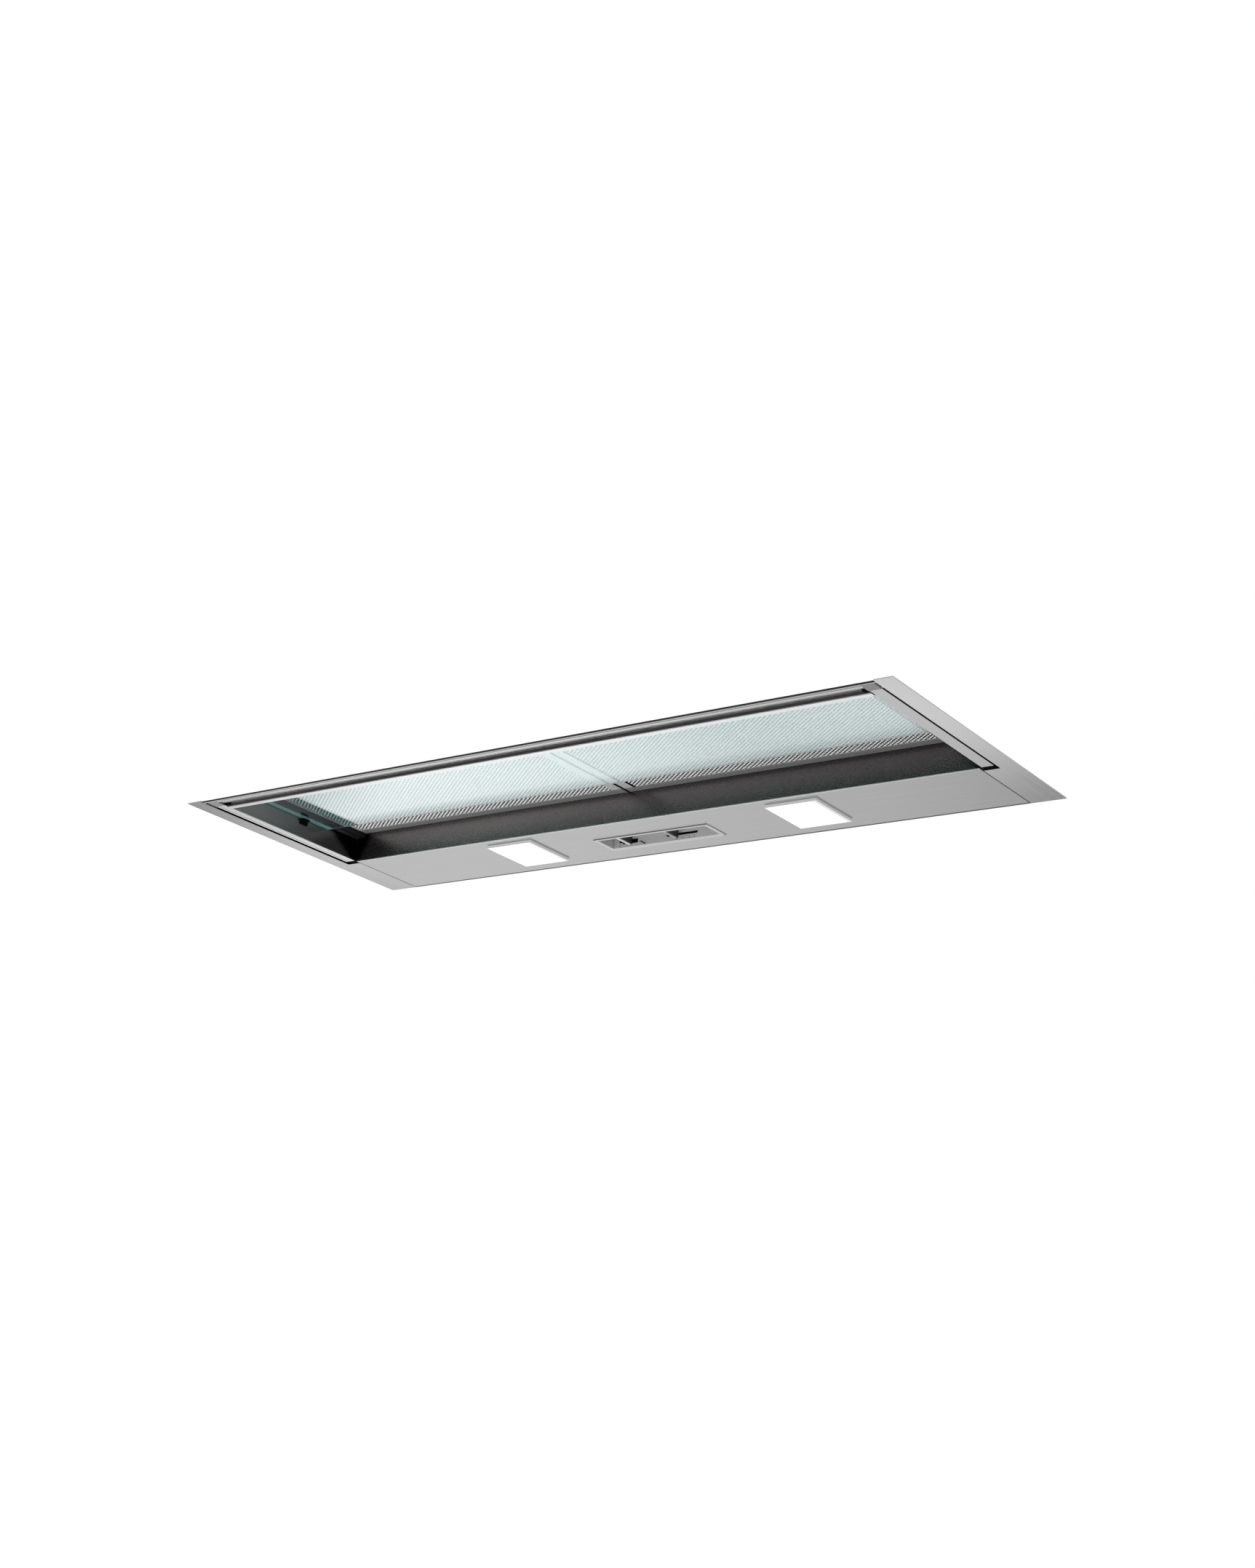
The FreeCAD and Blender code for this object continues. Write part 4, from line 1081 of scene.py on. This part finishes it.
# pan-head screws on the collar's flange and along the rear panel
panScrew = {
    "radius": 0.0028,
    "sides": 20,
    "tall": 0.0016,
    "dome": 0.0005,
    "crown": 0.35,  # share of the radius that slopes
    "slot": 0.0006,
    "reach": 0.0016,
    "sunk": 0.0009,
    "clear": 0.002,
}
screwRows = [
    {
        "name": "flangeScrew_",
        "face": 0.1560,
        "places": [(-0.0548, 0.0222), (0.0548, 0.0222), (-0.0548, 0.1318), (0.0548, 0.1318)],
    },
    {
        "name": "rearScrew_",
        "face": 0.1530,
        "places": [
            (-0.36, 0.034), (-0.20, 0.034), (0.20, 0.034), (0.36, 0.034),
            (-0.22, 0.131), (0.22, 0.131),
        ],
    },
]


def makeScrew():
    radius, tall, dome = (panScrew[key] for key in ("radius", "tall", "dome"))
    bpy.ops.object.select_all(action="DESELECT")
    bpy.ops.mesh.primitive_cylinder_add(
        vertices=panScrew["sides"],
        radius=radius,
        depth=tall,
        location=(0, tall / 2, 0),
        rotation=(math.radians(-90), 0, 0),
    )
    screw = bpy.context.object
    screw.name = "panScrew"
    bpy.ops.object.transform_apply(location=True, rotation=True, scale=True)
    insetFaces(
        screw,
        lambda centre, normal: normal.y > facing,
        radius * panScrew["crown"],
        (0, dome, 0),
    )
    half, reach = panScrew["slot"] / 2, panScrew["reach"]
    floor, top = tall + dome - panScrew["sunk"], tall + panScrew["clear"]
    for reachX, reachZ in ((reach, half), (half, reach)):
        cutter = newBox("crossCutter", (-reachX, floor, -reachZ), (reachX, top, reachZ))
        applyModifier(screw, "BOOLEAN", object=cutter, operation="DIFFERENCE", solver="EXACT")
        bpy.data.objects.remove(cutter)
    smooth(screw)
    return screw


def placeScrews():
    pattern = makeScrew()
    for row in screwRows:
        for index, (across, level) in enumerate(row["places"]):
            screw = copyPiece(pattern, row["name"] + str(index), (across, row["face"], level))
            dress(screw, "housing", screwSteel)
    bpy.data.objects.remove(pattern)


placeScrews()
print("screws placed")

# stage, light and camera
studio = {
    "floor": -1.5,
    "spread": 30.0,
    "pale": (0.78, 0.80),
    "rough": (0.8, 0.9),
    "ambient": 0.55,
    "seen": 1.0,
    "white": 1.0,
}
sheenPools = [
    {"middle": (-2.95, 2.75), "reach": (3.3, 2.4), "dim": 0.45, "bright": 1.65},
    {"middle": (-4.22, 2.84), "reach": (1.0, 0.62), "dim": 1.0, "bright": 0.0},
    {"middle": (-1.40, 3.15), "reach": (0.8, 0.6), "dim": 1.0, "bright": 1.45},
    {"middle": (-1.30, 4.05), "reach": (0.85, 0.6), "dim": 1.0, "bright": 0.4},
]


# one soft pool of light or shade on the floor, which fades out around its middle
def addPool(tree, pool):
    place = addNode(tree, "ShaderNodeNewGeometry")
    mapping = addNode(tree, "ShaderNodeMapping")
    (middleX, middleY), (reachX, reachY) = pool["middle"], pool["reach"]
    feed(tree, mapping, {
        "Location": (-middleX / reachX, -middleY / reachY, 0),
        "Scale": (1 / reachX, 1 / reachY, 0),
        "Vector": place.outputs["Position"],
    })
    spot = addNode(tree, "ShaderNodeTexGradient", gradient_type="SPHERICAL")
    feed(tree, spot, {"Vector": mapping.outputs["Vector"]})
    fade = addNode(tree, "ShaderNodeMapRange", interpolation_type="SMOOTHSTEP")
    limits = {"To Min": pool["dim"], "To Max": pool["bright"]}
    feed(tree, fade, {"Value": spot.outputs["Fac"], **limits})
    return fade.outputs["Result"]


# what metal and glass mirror of the floor: all the pools together
def addSheen(material):
    tree = material.node_tree
    level = addPool(tree, sheenPools[0])
    for pool in sheenPools[1:]:
        level = calculate(tree, "MULTIPLY", level, addPool(tree, pool))
    glow = addNode(tree, "ShaderNodeEmission")
    feed(tree, glow, {"Strength": level})
    path = addNode(tree, "ShaderNodeLightPath").outputs
    mirrored = calculate(tree, "MAXIMUM", path["Is Glossy Ray"], path["Is Transmission Ray"])
    surface = mixShaders(tree, mirrored, nodeOf(tree, "BSDF_PRINCIPLED"), glow)
    feed(tree, nodeOf(tree, "OUTPUT_MATERIAL"), {"Surface": surface})


def makeFloor():
    bpy.ops.object.select_all(action="DESELECT")
    bpy.ops.mesh.primitive_plane_add(size=studio["spread"], location=(0, 0, studio["floor"]))
    floor = bpy.context.object
    floor.name = "studioFloor"
    pale = patterned("studioPale", studio["pale"], floorGrain, studio["rough"])
    addSheen(pale)
    floor.data.materials.append(pale)


# white where it is seen or mirrored, dimmer as a source of light
def makeWorld():
    world = bpy.data.worlds.new("studioWorld")
    bpy.context.scene.world = world
    world.use_nodes = True
    tree = world.node_tree
    tree.nodes.clear()
    path = addNode(tree, "ShaderNodeLightPath").outputs
    seen = calculate(tree, "MAXIMUM", path["Is Camera Ray"], path["Is Glossy Ray"])
    seen = calculate(tree, "MAXIMUM", seen, path["Is Transmission Ray"])
    ambient, bright = (addNode(tree, "ShaderNodeBackground") for _ in range(2))
    for shade, strength in ((ambient, "ambient"), (bright, "seen")):
        feed(tree, shade, {"Strength": studio[strength], "Color": opaque(studio["white"])})
    output = addNode(tree, "ShaderNodeOutputWorld")
    feed(tree, output, {"Surface": mixShaders(tree, seen, ambient, bright)})


softboxes = [
    {
        "name": "floorBox",
        "place": (-0.75, -0.5, -1.4),
        "aim": (-0.75, -0.5, 0),
        "size": (2.0, 2.0),
        "power": 17,
    },
    {
        "name": "topBox",
        "place": (0.8, -1.2, 2.6),
        "aim": (0, 0, 0),
        "size": (2.4, 2.4),
        "power": 70,
    },
]


def makeLights():
    for softbox in softboxes:
        data = bpy.data.lights.new(softbox["name"], "AREA")
        data.shape = "RECTANGLE"
        data.size, data.size_y = softbox["size"]
        data.energy = softbox["power"]
        lamp = bpy.data.objects.new(softbox["name"], data)
        bpy.context.scene.collection.objects.link(lamp)
        place = Vector(softbox["place"])
        ahead = Vector(softbox["aim"]) - place
        lamp.location = place
        lamp.rotation_euler = ahead.to_track_quat("-Z", "Y").to_euler()
        lamp.visible_camera = False
        lamp.visible_glossy = False


photoView = {
    "place": (1.384, -1.716, -0.744),
    "ahead": (-0.587, 0.739, 0.331),
    "up": (0.129, -0.319, 0.939),
    "lens": 50.86,
    "sensor": 36.0,
}


def makeCamera():
    data = bpy.data.cameras.new("photoCamera")
    data.lens = photoView["lens"]
    data.sensor_width = photoView["sensor"]
    camera = bpy.data.objects.new("photoCamera", data)
    bpy.context.scene.collection.objects.link(camera)
    ahead = Vector(photoView["ahead"]).normalized()
    right = ahead.cross(Vector(photoView["up"])).normalized()
    up = right.cross(ahead)
    turn = Matrix((right, up, -ahead)).transposed().to_4x4()
    camera.matrix_world = Matrix.Translation(photoView["place"]) @ turn
    bpy.context.scene.camera = camera


makeFloor()
makeWorld()
makeLights()
makeCamera()
bpy.context.scene.view_settings.view_transform = "Standard"
print("stage set")
